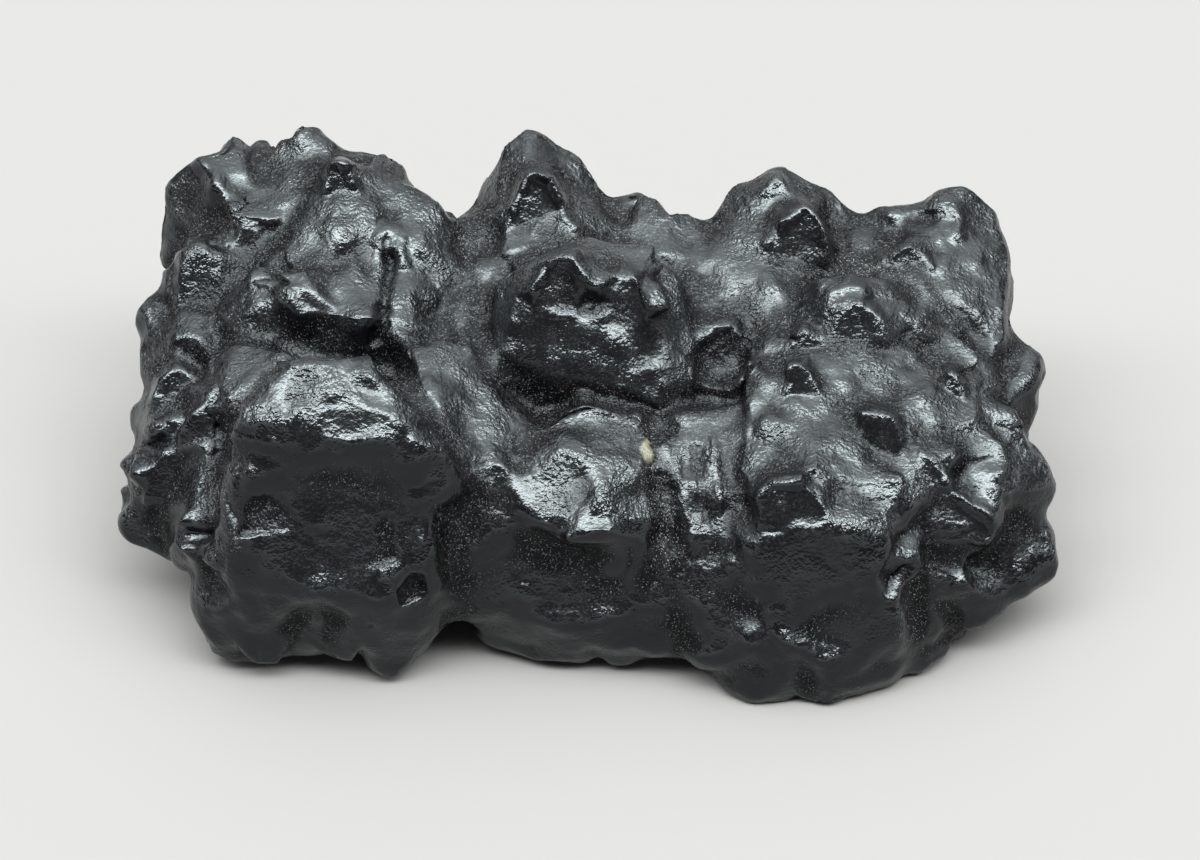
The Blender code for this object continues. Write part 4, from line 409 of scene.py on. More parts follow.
# The body inside, and the knobs that the view hides, as (x, y, z, radius) in the stone's own frame.
BODY = {
    "left body": [
        (-19.0, 5.0, 12.0, 4.0), (-19.0, -1.6, 11.0, 4.0), (-12.0, 6.4, 12.0, 4.6), (-13.0, -3.6, 8.6, 4.4),
        (-19.0, 0.6, 7.5, 4.0),
    ],
    "middle body": [
        (-8.0, 4.6, 10.0, 5.5), (0.0, 4.6, 11.0, 5.5), (6.0, 3.6, 9.5, 5.5), (-6.0, -4.4, 8.5, 4.5),
        (4.0, -4.4, 8.0, 4.5),
    ],
    "right body": [
        (10.0, 3.6, 10.0, 5.5), (18.0, 2.6, 9.5, 5.0), (12.0, -6.4, 7.5, 5.0), (19.0, -4.4, 7.5, 4.5),
    ],
}
BACK_KNOBS = {
    "rear crest left": [
        (-22.6, 12.0, 16.6, 1.2), (-20.0, 12.8, 15.0, 1.4), (-23.4, 10.6, 13.4, 1.4),
        (-18.4, 12.6, 16.4, 1.2), (-20.0, 6.0, 13.0, 4.0),
    ],
    "rear pyramid": [
        (-16.6, 13.6, 17.6, 1.0), (-14.6, 13.0, 15.4, 1.3), (-18.0, 12.6, 14.0, 1.3),
        (-13.4, 12.0, 18.0, 1.0), (-15.0, 6.0, 14.0, 4.0),
    ],
    "rear shoulder left": [
        (-23.6, 9.4, 9.6, 1.5), (-21.0, 11.4, 10.6, 1.5), (-22.0, 10.0, 7.0, 1.6), (-19.2, 11.0, 8.2, 1.4),
        (-19.0, 4.0, 9.0, 4.0),
    ],
    "rear boss left": [
        (-16.4, 12.2, 10.0, 1.6), (-14.0, 12.6, 8.2, 1.4), (-17.4, 11.4, 7.0, 1.5), (-14.6, 11.0, 11.8, 1.4),
        (-15.0, 4.0, 9.0, 4.0),
    ],
    "rear knob left": [
        (-10.6, 12.4, 13.0, 1.4), (-8.4, 11.6, 11.4, 1.3), (-11.4, 12.0, 10.4, 1.5), (-9.0, 11.2, 15.4, 1.2),
        (-10.0, 4.0, 11.0, 4.0),
    ],
    "rear low left": [
        (-20.6, 8.2, 4.2, 1.7), (-17.6, 9.2, 4.6, 1.6), (-19.6, 6.6, 2.6, 1.6), (-17.0, 3.0, 8.0, 4.0),
    ],
    "rear low lump": [
        (-12.0, 9.6, 5.0, 1.7), (-9.4, 9.0, 6.2, 1.5), (-10.6, 7.4, 3.6, 1.7), (-11.0, 3.0, 8.0, 4.0),
    ],
    "rear middle crest": [
        (-3.6, 12.4, 17.4, 1.0), (-4.8, 12.6, 15.2, 1.1), (-2.4, 12.8, 14.2, 1.1), (-3.6, 12.0, 12.2, 1.4),
        (-3.0, 5.0, 13.0, 3.5),
    ],
    "rear middle boss": [
        (-5.4, 11.8, 8.4, 1.6), (-3.0, 12.4, 9.6, 1.4), (-4.0, 11.0, 6.0, 1.6), (-1.2, 11.2, 7.6, 1.4),
        (-3.0, 4.0, 9.0, 4.0),
    ],
    "rear middle low": [
        (-4.4, 8.6, 3.8, 1.7), (-1.6, 8.8, 4.6, 1.6), (-3.0, 6.6, 2.4, 1.6), (-2.0, 3.0, 8.0, 4.0),
    ],
    "rear saddle": [
        (2.4, 11.4, 14.4, 1.3), (5.0, 11.2, 15.0, 1.2), (3.6, 11.0, 12.0, 1.5), (6.4, 10.8, 12.8, 1.3),
        (4.0, 4.0, 11.0, 4.0),
    ],
    "rear saddle boss": [
        (3.6, 11.4, 8.2, 1.6), (6.4, 11.0, 9.4, 1.5), (5.0, 10.0, 5.8, 1.6), (5.0, 4.0, 8.0, 4.0),
    ],
    "rear right crest": [
        (10.6, 12.4, 16.0, 1.2), (13.2, 11.8, 15.0, 1.3), (11.4, 12.0, 13.0, 1.4), (8.8, 11.4, 14.4, 1.2),
        (12.0, 5.0, 12.0, 4.0),
    ],
    "rear right boss": [
        (10.4, 11.4, 9.2, 1.6), (12.8, 11.8, 8.0, 1.4), (11.0, 10.2, 6.0, 1.6), (14.4, 10.6, 10.4, 1.3),
        (12.0, 4.0, 9.0, 4.0),
    ],
    "rear corner crest": [
        (20.6, 11.2, 14.2, 1.2), (23.0, 10.2, 12.6, 1.3), (18.2, 10.8, 13.0, 1.3), (21.4, 10.2, 10.6, 1.4),
        (19.0, 4.0, 11.0, 4.0),
    ],
    "rear corner boss": [
        (18.6, 10.4, 8.6, 1.5), (21.6, 9.0, 7.4, 1.5), (17.4, 9.4, 6.0, 1.6), (23.4, 7.6, 9.4, 1.3),
        (18.0, 3.0, 8.0, 4.0),
    ],
    "rear low right": [
        (11.6, 7.8, 3.6, 1.8), (14.6, 8.0, 4.2, 1.7), (13.0, 5.8, 2.4, 1.6), (13.0, 3.0, 8.0, 4.0),
    ],
    "rear low end": [
        (20.4, 6.2, 4.0, 1.7), (22.6, 4.0, 5.0, 1.6), (19.0, 4.6, 2.8, 1.7), (18.0, 2.0, 8.0, 4.0),
    ],
    "left end knob": [
        (-24.8, 5.4, 12.4, 1.4), (-24.8, 3.0, 10.2, 1.5), (-25.2, 7.0, 9.4, 1.3), (-23.8, 5.6, 7.4, 1.6),
        (-19.0, 4.0, 9.0, 4.0),
    ],
    "left end low": [
        (-23.0, 0.6, 5.0, 1.6), (-24.0, 2.4, 7.0, 1.5), (-21.4, -1.6, 3.4, 1.7), (-18.0, 1.0, 8.0, 4.0),
    ],
    "right end knob": [
        (24.8, 3.2, 10.4, 1.3), (25.2, 1.0, 8.8, 1.4), (24.0, 4.2, 7.6, 1.5), (19.0, 2.0, 8.0, 4.0),
    ],
    "right end low": [
        (24.4, -1.8, 6.2, 1.5), (23.2, 1.2, 5.2, 1.5), (24.4, -3.8, 4.6, 1.4), (18.0, 0.0, 7.0, 4.0),
    ],
    "rear left foot": [
        (-16.6, 4.0, 1.1, 1.7), (-14.4, 5.2, 1.4, 1.6), (-18.0, 2.4, 2.0, 1.7), (-13.4, 2.8, 1.7, 1.6),
        (-15.6, 1.2, 1.6, 1.6), (-15.0, 3.0, 8.0, 4.0),
    ],
    "rear middle foot": [
        (1.6, 6.4, 1.2, 1.6), (3.4, 4.8, 1.6, 1.5), (-0.2, 5.0, 1.7, 1.6), (1.4, 3.2, 1.8, 1.5),
        (1.0, 3.0, 8.0, 4.0),
    ],
    "rear right foot": [
        (15.2, 4.4, 1.1, 1.7), (17.4, 3.2, 1.5, 1.6), (13.6, 3.0, 1.7, 1.6), (15.6, 1.4, 1.8, 1.6),
        (15.0, 2.0, 8.0, 4.0),
    ],
    "belly left": [
        (-8.0, 0.0, 3.0, 2.0), (-5.2, 1.6, 2.4, 1.6), (-6.4, -3.0, 3.0, 1.8), (-9.6, 2.8, 2.8, 1.5),
        (-7.0, 0.0, 8.0, 3.0),
    ],
    "belly middle": [
        (-1.0, -3.2, 2.6, 1.8), (1.6, -1.2, 2.2, 1.6), (-2.4, 0.4, 2.8, 1.5), (0.0, 0.0, 8.0, 3.0),
    ],
    "belly right": [
        (8.0, -1.6, 2.6, 2.0), (6.0, 1.0, 2.2, 1.6), (9.8, 1.2, 2.8, 1.6), (10.4, -3.6, 2.4, 1.6),
        (8.0, 0.0, 8.0, 3.0),
    ],
    "belly far left": [
        (-20.4, -4.4, 2.6, 1.6), (-18.6, -2.4, 2.2, 1.5), (-16.6, -5.6, 2.4, 1.6), (-18.0, -2.0, 8.0, 3.0),
    ],
    "belly far right": [
        (19.6, -3.4, 2.2, 1.6), (21.0, -0.6, 3.2, 1.5), (17.8, -0.4, 2.6, 1.4), (18.0, -2.0, 8.0, 3.0),
    ],
}

# Facets pressed in with soft edges: across, rise, half width, half height, slope, and any lean and lift
FACETS = {
    "big knob face": (0.6, 3.9, 6.84, 4.92, 0.38, 0.0, -1.0),
    "block face": (-15.18, -6.48, 6.9, 4.62, 0.32),
    "middle face": (-2.04, -9.78, 5.64, 3.0, 0.35),
    "right face": (13.62, -8.76, 5.7, 3.66, 0.38),
    "prow lit": (-1.8, -4.08, 2.4, 2.22, -0.15, 0.08),
    "beak hollow": (8.28, 2.58, 2.04, 1.8, 0.42, 0.0, -0.5),
    "block brow": (-15.3, -0.42, 5.1, 1.08, 0.02),
    "low right face": (15.72, -12.66, 4.08, 2.04, 0.45),
    "corner lit strip": (-21.99, 13.98, 1.59, 1.44, -0.22, -0.12),
    "big knob nose": (0.3, 6.36, 1.14, 1.02, -0.35, 0.1, 0.1),
    "back right lit": (11.22, 13.62, 1.38, 0.96, -0.2),
    "crown lit": (15.6, 7.26, 1.44, 0.6, -0.2),
    "body lit patch": (10.92, -0.72, 1.32, 1.14, -0.2),
    "wedge lit": (23.16, -4.26, 1.56, 1.8, -0.25, 0.1, 0.1),
    "low bright bump": (17.88, -10.02, 0.72, 1.2, -0.2, 0.0, 0.2),
}
# Steep faces under an arched edge, in the same order
LEDGES = {
    "corner ledge face": (-20.52, 10.86, 0.84, 0.72, 0.1),
    "dome tip face": (-14.94, 14.58, 1.02, 1.08, 0.1),
    "left column face": (-23.76, 8.46, 1.56, 1.68, 0.08, 0.05),
    "left side face upper": (-24.0, 4.02, 1.08, 0.72, 0.1),
    "left side face middle": (-24.96, 2.04, 1.56, 1.02, 0.1),
    "left side face lower": (-24.9, -0.54, 1.5, 0.72, 0.1),
    "left side face bottom": (-25.32, -3.72, 1.68, 1.38, 0.3, 0.1),
    "block face dent left": (-18.96, -6.06, 1.68, 0.96, 0.1, 0.15, -0.2),
    "block face dent right": (-12.12, -7.68, 0.84, 1.14, 0.2, 0.0, -0.25),
    "block foot dent": (-10.32, -10.5, 0.84, 0.72, 0.2, 0.0, -0.2),
    "back middle face": (-3.18, 13.44, 1.74, 1.5, 0.1),
    "big knob hollow": (-2.16, 7.8, 1.2, 1.62, 0.15, -0.1, -0.2),
    "beak face": (8.16, 4.89, 0.96, 0.63, 0.1),
    "saddle knob face": (-5.58, -3.36, 1.14, 0.9, 0.1),
    "back right face": (12.84, 11.1, 1.68, 1.8, 0.1),
    "eyebrow face": (19.32, 9.6, 1.32, 0.66, 0.05),
    "crown face": (16.2, 5.64, 1.8, 1.26, 0.12),
    "upper tooth face": (12.78, 4.74, 1.02, 0.84, 0.1),
    "lower tooth face": (12.6, 2.22, 1.2, 1.08, 0.1),
    "cube tooth face": (17.16, -0.54, 1.68, 1.56, 0.15),
    "crown ledge face": (12.0, -4.92, 2.4, 1.38, 0.15),
    "wedge face": (21.36, -5.88, 2.76, 1.38, 0.15, -0.1),
    "bump face": (20.28, -3.18, 1.2, 1.08, 0.1),
    "right hollow": (21.72, 2.22, 0.72, 1.08, 0.1),
    "big knob right hollow": (1.98, 7.14, 1.38, 0.96, 0.2, 0.1),
}

# Ridges raised or grooves cut along a line of (across, rise) places: height, half width, line
RIDGES = {
    "corner crest": (0.4, 0.5, [(-23.7, 15.48), (-22.5, 13.92), (-21.24, 12.06)]),
    "corner ledge": (0.3, 0.4, [(-21.36, 11.58), (-20.4, 11.88), (-19.08, 11.88)]),
    "back middle arc": (0.35, 0.4, [
        (-5.04, 11.58), (-4.62, 13.5), (-4.08, 14.46), (-3.3, 14.88), (-2.46, 14.22), (-1.68, 12.9),
        (-0.84, 11.34),
    ]),
    "beak brow": (0.3, 0.4, [(6.84, 4.74), (7.32, 5.46), (8.7, 5.58), (9.12, 4.74)]),
    "side ledge": (0.35, 0.45, [(-26.88, -1.5), (-25.8, -2.04), (-24.48, -2.04), (-23.52, -1.74)]),
    "crown ledge rim": (0.3, 0.4, [
        (9.72, -4.98), (10.32, -3.78), (11.4, -3.78), (12.42, -3.9), (12.72, -3.3), (13.44, -3.06),
        (13.92, -3.78), (14.16, -4.86),
    ]),
    "wedge edge": (0.3, 0.45, [(21.48, -4.14), (22.8, -5.34), (24.24, -6.54)]),
    "thin line": (0.25, 0.35, [(19.92, 8.1), (21.0, 6.6), (21.96, 5.1), (22.8, 4.02)]),
    "prow crest": (0.16, 0.55, [
        (-2.52, -1.86), (-1.68, -2.22), (-0.72, -2.7), (0.0, -3.3), (0.6, -4.86), (1.32, -6.54),
    ]),
    "nose cleft": (-0.8, 0.5, [(-12.36, 6.18), (-12.48, 5.34), (-12.84, 4.74)]),
    "dome ring": (0.25, 0.22, [
        (-16.02, 13.62), (-15.96, 14.82), (-15.24, 15.6), (-14.46, 14.94), (-14.22, 13.74),
    ]),
    "nose arc": (0.35, 0.35, [
        (-12.9, 8.82), (-12.72, 10.38), (-12.18, 11.28), (-11.64, 10.5), (-11.34, 9.18),
    ]),
    "nose groove": (-0.55, 0.3, [(-12.12, 9.42), (-12.24, 7.5), (-12.36, 6.3)]),
    "big knob crest left": (0.35, 0.4, [
        (-3.48, 7.26), (-2.94, 9.06), (-1.8, 9.66), (-0.96, 9.42), (-0.36, 8.58), (0.12, 7.74),
    ]),
    "big knob crest right": (0.3, 0.35, [(0.72, 7.5), (1.2, 8.28), (2.04, 8.64), (2.88, 7.98), (3.36, 6.66)]),
    "block crest": (0.22, 0.7, [
        (-21.0, -0.9), (-20.28, 0.54), (-19.32, 1.86), (-17.88, 2.94), (-16.2, 3.3), (-14.4, 3.06),
        (-12.0, 2.22),
    ]),
    "back right arc": (0.45, 0.5, [
        (10.68, 10.5), (11.58, 12.06), (12.54, 12.96), (13.56, 12.9), (14.16, 11.82), (14.4, 9.18),
    ]),
    "crest line": (0.35, 0.5, [(18.12, 12.06), (20.1, 12.54), (21.9, 12.66), (22.68, 11.94), (22.32, 10.86)]),
    "eyebrow": (0.35, 0.35, [(17.64, 9.54), (18.6, 10.14), (19.68, 10.5), (20.4, 10.14), (20.64, 9.06)]),
    "streak left": (-0.35, 0.3, [(3.6, -2.82), (4.2, -4.5), (4.68, -6.3), (5.04, -8.1)]),
    "streak middle": (0.3, 0.3, [(4.44, -1.5), (5.04, -3.3), (5.64, -5.4), (6.12, -7.98)]),
    "streak between": (-0.3, 0.28, [(6.24, -1.98), (6.6, -3.9), (6.96, -6.3)]),
    "streak right": (0.25, 0.3, [(7.32, -1.5), (7.56, -3.9), (7.8, -6.9), (8.28, -9.0)]),
    "knob foot": (-0.45, 0.4, [
        (-5.04, 1.38), (-3.24, 0.3), (-1.44, 0.66), (0.6, 0.9), (2.4, 0.66), (4.2, 0.18), (6.24, 0.78),
    ]),
    # Finer lines that only this skin shows
    "crack one": (-0.25, 0.25, [(-22.2, -2.4), (-22.68, -3.78), (-23.1, -4.5)]),
    "crack two": (-0.25, 0.25, [(-21.9, -2.7), (-21.6, -3.9), (-21.48, -5.1), (-20.7, -6.9)]),
    "pit low left": (-0.3, 0.4, [(-22.2, -7.08), (-21.84, -7.26)]),
    "column seam": (-0.3, 0.3, [(-22.5, 4.8), (-22.26, 2.1), (-22.08, -0.3), (-21.96, -2.1)]),
}
# Lines along which dust and lint have settled and pale specks are painted, part lint and part painted glints:
# how much, half width, line
DUST = {
    "valley by the prow": (0.9, 0.8, [(3.6, -0.9), (3.72, -3.3), (4.2, -5.1), (4.68, -6.9), (4.5, -8.7)]),
    "plateau line": (0.8, 0.5, [(3.9, 9.9), (4.68, 9.06), (6.0, 8.94), (7.92, 8.7), (9.3, 8.4)]),
    "right valley": (0.9, 0.9, [(15.3, 9.18), (16.2, 9.18), (17.4, 8.82), (18.48, 8.58)]),
    "right flank line": (0.8, 0.6, [(20.1, 7.92), (21.3, 6.6), (21.9, 5.4), (22.68, 4.2)]),
    "beak rim": (0.6, 0.6, [(9.9, 6.9), (11.1, 6.3)]),
    "left of the big knob": (0.6, 1.0, [(-7.8, 11.1), (-7.2, 8.7), (-7.5, 5.7), (-8.1, 3.3)]),
    "behind the big knob": (0.6, 0.9, [(0.0, 10.5), (1.8, 10.98), (3.6, 10.8)]),
    "crack line": (0.5, 0.5, [(-21.9, -2.1), (-21.72, -5.1), (-21.0, -7.5)]),
    "dome edge": (0.7, 0.4, [(-17.4, 11.4), (-18.6, 9.18), (-19.68, 7.8)]),
    "low right crease": (0.8, 0.6, [(19.32, -8.7), (19.08, -11.1), (19.2, -13.2)]),
    "prow right flank": (0.5, 0.9, [(0.6, -0.9), (2.4, -1.5), (3.6, -1.8)]),
    "right slope": (0.5, 0.8, [(6.6, -0.9), (9.0, 0.9), (10.2, 2.1)]),
}


# Placing and fusing the knobs
def from_view(across, rise, near):
    y = rise * math.sin(VIEW_TILT) - near * math.cos(VIEW_TILT)
    z = rise * math.cos(VIEW_TILT) + near * math.sin(VIEW_TILT)
    return (Vector((across, y, z)) + Vector(CENTRE)) * MM


def from_frame(x, y, z):
    return Vector((x, y, z)) * MM


def add_worn_hull(form, corners, place):
    hull = bmesh.new()
    for *spot, radius in corners:
        ball = bmesh.ops.create_icosphere(hull, subdivisions=BALL_STEPS, radius=radius * MM)
        bmesh.ops.translate(hull, vec=place(*spot), verts=ball["verts"])
    made = bmesh.ops.convex_hull(hull, input=hull.verts)
    inside = {g for g in made["geom_interior"] + made["geom_unused"] if isinstance(g, bmesh.types.BMVert)}
    bmesh.ops.delete(hull, geom=list(inside), context="VERTS")
    knob = bpy.data.meshes.new("knob")
    hull.to_mesh(knob)
    hull.free()
    form.from_mesh(knob)
    bpy.data.meshes.remove(knob)


def stood(name, data):
    piece = bpy.data.objects.new(name, data)
    bpy.context.scene.collection.objects.link(piece)
    return piece


def knob_cluster():
    form = bmesh.new()
    for corners in FRONT_KNOBS.values():
        add_worn_hull(form, corners, from_view)
    for corners in [*BODY.values(), *BACK_KNOBS.values()]:
        add_worn_hull(form, corners, from_frame)
    bmesh.ops.recalc_face_normals(form, faces=form.faces)
    cluster = bpy.data.meshes.new("cluster")
    form.to_mesh(cluster)
    form.free()
    return cluster


def evaluated(piece):
    seen = piece.evaluated_get(bpy.context.evaluated_depsgraph_get())
    made = bpy.data.meshes.new_from_object(seen)
    bpy.data.objects.remove(piece)
    return made


def fused(cluster):
    blank = stood("blank", cluster)
    for name, amount in (("swell", CREASE_FILLET), ("shrink back", -SHRINK_BACK)):
        skin = blank.modifiers.new("skin before " + name, "REMESH")
        skin.mode = "VOXEL"
        skin.voxel_size = VOXEL * MM
        swell = blank.modifiers.new(name, "DISPLACE")
        swell.mid_level = 0
        swell.strength = amount * MM
    worn = blank.modifiers.new("wear", "SMOOTH")
    worn.iterations = SMOOTH_PASSES
    return evaluated(blank)


# Reading and writing a mesh as arrays
def triples_of(rows, name):
    values = np.empty(len(rows) * 3)
    rows.foreach_get(name, values)
    return values.reshape(-1, 3)


def places_of(mesh):
    return triples_of(mesh.vertices, "co") / MM


def put_places(mesh, places):
    mesh.vertices.foreach_set("co", (places * MM).ravel())
    mesh.update()


def outward_of(mesh):
    return triples_of(mesh.vertex_normals, "vector")


def wander_of(places, scale, seed):
    shift = Vector((seed, seed, seed))
    return np.array([noise.noise(Vector(place) / scale + shift) for place in places])


def wander_by_axis(places, scale, apart):
    return np.column_stack([wander_of(places, scale, scale + apart * axis) for axis in (1, 2, 3)])


def sway(skin, scale, reach):
    """Moves the skin about sideways, so that no edge runs straight."""
    places = places_of(skin)
    put_places(skin, places + reach * wander_by_axis(places, scale, SWAY_APART))


def slide(skin, scale, reach):
    """Moves the skin about within its own surface, so that cut edges run unevenly and its forms stay."""
    places = places_of(skin)
    outward = outward_of(skin)
    shifts = reach * wander_by_axis(places, scale, SLIDE_APART)
    put_places(skin, places + shifts - outward * (shifts * outward).sum(axis=1)[:, None])


def wander(skin, scale, depth):
    """Lets the skin rise and fall along its normals, less underneath and along the outline."""
    places = places_of(skin)
    outward = outward_of(skin)
    much = depth * np.clip((outward[:, 2] - LEVEL_CALM) / CALM_FADE, CALM_UNDERNEATH, 1)
    much = much * np.clip(np.abs(outward @ TOWARD_EYE) / FACING_FADE, CALM_OUTLINE, 1)
    put_places(skin, places + outward * (wander_of(places, scale, scale) * much)[:, None])


class Carving:
    """The skin as one view sees it, to be cut with facets, ledges, ridges and grooves where it shows."""

    def __init__(self, mesh, turn, tilt):
        self.mesh = mesh
        self.axes = np.array([
            (math.cos(turn), math.sin(turn), 0),
            (-math.sin(turn) * math.sin(tilt), math.cos(turn) * math.sin(tilt), math.cos(tilt)),
            (math.sin(turn) * math.cos(tilt), -math.cos(turn) * math.cos(tilt), math.sin(tilt)),
        ])
        places = places_of(mesh)
        self.across, self.rise, self.near = self.axes @ (places - CENTRE).T
        self.facing = np.clip(self.axes[2] @ outward_of(mesh).T / FACING_FADE, 0, 1)
        self.uneven_across, self.uneven_rise = (
            sum(wander_of(places, scale, seed) * much for scale, much in EDGE_UNEVENNESS)
            for seed in EDGE_SEEDS
        )

    def level(self, across, rise, near_by=slice(None)):
        """How near the front of the skin stands at this place."""
        apart = np.hypot(self.across[near_by] - across, self.rise[near_by] - rise)
        close = self.near[near_by][apart < max(LEVEL_REACH, apart.min() + LEVEL_REACH / 2)]
        return close[close > close.max() - LEVEL_DEPTH].mean()

    def press(self, weight, flat):
        """Moves the skin towards the flat by the weight, where it shows and no further than CARVE_DEPTH."""
        weight = weight * self.facing * np.clip(CARVE_DEPTH - np.abs(flat - self.near), 0, 1)
        weight = weight * weight * (3 - 2 * weight)
        self.near = self.near + weight * (flat - self.near)

    def facet(self, across, rise, half_width, half_height, slope, lean=0.0, lift=0.0):
        """Presses an oval of the skin flat, with soft edges. The flat leaves the skin at the oval's foot,
        plus lift, and grows nearer by slope up the view and by lean across it."""
        right = self.across - across
        up = self.rise - rise
        away = np.hypot((right + self.uneven_across) / half_width, (up + self.uneven_rise) / half_height)
        flat = self.level(across, rise - half_height) + lift + slope * (up + half_height) + lean * right
        self.press(np.clip(FACET_SOLID - FACET_FALL * away, 0, 1), flat)

    def ledge(self, across, rise, half_width, half_height, slope, lean=0.0, lift=0.0):
        """A steep face under a crisp arched edge, which meets the skin below it in a crease."""
        right = self.across - across
        side = np.abs(right + self.uneven_across) / half_width
        up = self.rise - rise
        high = (up + self.uneven_rise) / half_height + 1
        inside = (1 - np.hypot(side, np.maximum(high, 0) / 2)) * min(half_width, half_height)
        flat = self.level(across, rise - half_height) + lift + slope * (up + half_height) + lean * right
        if lift < 0:
            inside = np.minimum(inside, high * half_height)
        else:
            inside = np.minimum(inside, (high + LEDGE_FOOT) * half_height)
            flat = np.maximum(flat, self.near)
        self.press(np.clip(inside / LEDGE_EDGE + 0.5, 0, 1), flat)

    def along(self, half_width, line):
        """How much each point lies under a line of (across, rise) places, from 0 to 1."""
        reach = LINE_REACH * half_width + LEVEL_REACH
        xs, ys = np.array(line).T
        window = np.flatnonzero(
            (self.across > xs.min() - reach) & (self.across < xs.max() + reach)
            & (self.rise > ys.min() - reach) & (self.rise < ys.max() + reach)
        )
        right = self.across[window] + self.uneven_across[window] / 2
        up = self.rise[window] + self.uneven_rise[window] / 2
        under = np.zeros(len(window))
        for (x0, y0), (x1, y1) in zip(line, line[1:]):
            steps = max(1, math.ceil(math.hypot(x1 - x0, y1 - y0) / half_width * 2))
            for step in range(steps + 1):
                x = x0 + (x1 - x0) * step / steps
                y = y0 + (y1 - y0) * step / steps
                off = np.hypot(right - x, up - y) / half_width
                profile = np.where(off < LINE_REACH, np.exp(-off * off), 0)
                profile *= np.clip(CARVE_DEPTH - np.abs(self.level(x, y, window) - self.near[window]), 0, 1)
                under = np.maximum(under, profile)
        gain = np.zeros(len(self.near))
        gain[window] = under
        return gain * self.facing

    def ridge(self, height, half_width, line):
        """Raises the skin along a line, or cuts it where height is negative."""
        self.near = self.near + height * self.along(half_width, line)

    def finish(self):
        put_places(self.mesh, np.column_stack((self.across, self.rise, self.near)) @ self.axes + CENTRE)


def carve_front(skin):
    view = Carving(skin, 0, VIEW_TILT)
    for shape in FACETS.values():
        view.facet(*shape)
    for shape in LEDGES.values():
        view.ledge(*shape)
    for height, half_width, line in RIDGES.values():
        view.ridge(height, half_width, line)
    grain = view.along(*GRAIN[1:])
    view.near = view.near + GRAIN[0] * grain
    mark(skin, "grain", np.clip(GRAIN_EDGE * (grain - GRAIN_FROM), 0, 1))
    dust = np.zeros(len(skin.vertices))
    for much, half_width, line in DUST.values():
        dust = np.maximum(dust, much * view.along(half_width, line))
    mark(skin, "dust", dust)
    view.finish()


def carve_side(skin, turn, tilt, reach, count):
    strew = random.Random(f"{turn} {tilt}")
    view = Carving(skin, math.radians(turn), math.radians(tilt))
    for _ in range(count):
        across = strew.uniform(-reach[0], reach[0])
        rise = strew.uniform(-reach[1], reach[1])
        if np.hypot(view.across - across, view.rise - rise).min() > STREWN_FROM_SKIN:
            continue
        wide = strew.uniform(*STREWN_WIDTHS)
        high = strew.uniform(*STREWN_HEIGHTS)
        slope = strew.uniform(*STREWN_SLOPES)
        view.facet(across, rise, wide, high, slope, strew.uniform(*STREWN_LEANS))
        lean = strew.uniform(*BROW_LEANS)
        top = rise + high
        line = [(across - wide, top - lean), (across, top), (across + wide, top + lean)]
        view.ridge(strew.uniform(*BROW_HEIGHTS), BROW_HALF_WIDTH, line)
    view.finish()


def mark_hollows(skin):
    """Marks each point by how deep in a hollow, how high on a crest and how open to above it lies, 0 to 1."""
    places = places_of(skin)
    ends = np.empty(len(skin.edges) * 2, dtype=np.int64)
    skin.edges.foreach_get("vertices", ends)
    ends = ends.reshape(-1, 2)
    first = np.concatenate((ends[:, 0], ends[:, 1]))
    second = np.concatenate((ends[:, 1], ends[:, 0]))
    count = np.bincount(first, minlength=len(places))
    smooth = places
    for _ in range(HOLLOW_PASSES):
        smooth = np.column_stack([
            np.bincount(first, smooth[second, axis], minlength=len(places)) / count for axis in range(3)
        ])
    depth = ((smooth - places) * outward_of(skin)).sum(axis=1)
    mark(skin, "hollow", np.clip(depth / HOLLOW_DEPTH, 0, 1))
    mark(skin, "crest", np.clip(-depth / HOLLOW_DEPTH, 0, 1))
    mark(skin, "open", np.clip((outward_of(skin)[:, 2] - OPEN_FROM) / OPEN_FADE, 0, 1))


def mark(skin, name, amounts):
    amount = skin.attributes.new(name, "FLOAT", "POINT")
    amount.data.foreach_set("value", amounts.astype(np.float32))


def flat_feet(skin):
    """Cuts the feet off level with the floor."""
    places = places_of(skin)
    places[:, 2] = np.maximum(places[:, 2], 0)
    put_places(skin, places)


# Finish of the stone
class Nodes:
    """The node tree of a material or a world, which grows node by node."""

    def __init__(self, owner, coordinates):
        owner.use_nodes = True
        self.tree = owner.node_tree
        self.coordinates = self.add("ShaderNodeTexCoord").outputs[coordinates]

    def add(self, kind, **settings):
        node = self.tree.nodes.new(kind)
        for key, value in settings.items():
            if key in node.inputs.keys():
                self.feed(node.inputs[key], value)
            else:
                setattr(node, key, value)
        return node

    def feed(self, socket, value):
        if isinstance(value, bpy.types.NodeSocket):
            self.tree.links.new(value, socket)
        else:
            socket.default_value = value

    def spread(self, value, low, high, to_low=0.0, to_high=1.0):
        node = self.add("ShaderNodeMapRange", Value=value)
        node.inputs["From Min"].default_value = low
        node.inputs["From Max"].default_value = high
        node.inputs["To Min"].default_value = to_low
        node.inputs["To Max"].default_value = to_high
        return node.outputs[0]

    def combine(self, operation, one, other):
        node = self.add("ShaderNodeMath", operation=operation)
        self.feed(node.inputs[0], one)
        self.feed(node.inputs[1], other)
        return node.outputs[0]

    def times(self, one, other):
        return self.combine("MULTIPLY", one, other)

    def blend(self, amount, one, other):
        node = self.add("ShaderNodeMix", data_type="RGBA")
        self.feed(node.inputs["Factor"], amount)
        self.feed(node.inputs[6], one)
        self.feed(node.inputs[7], other)
        return node.outputs[2]


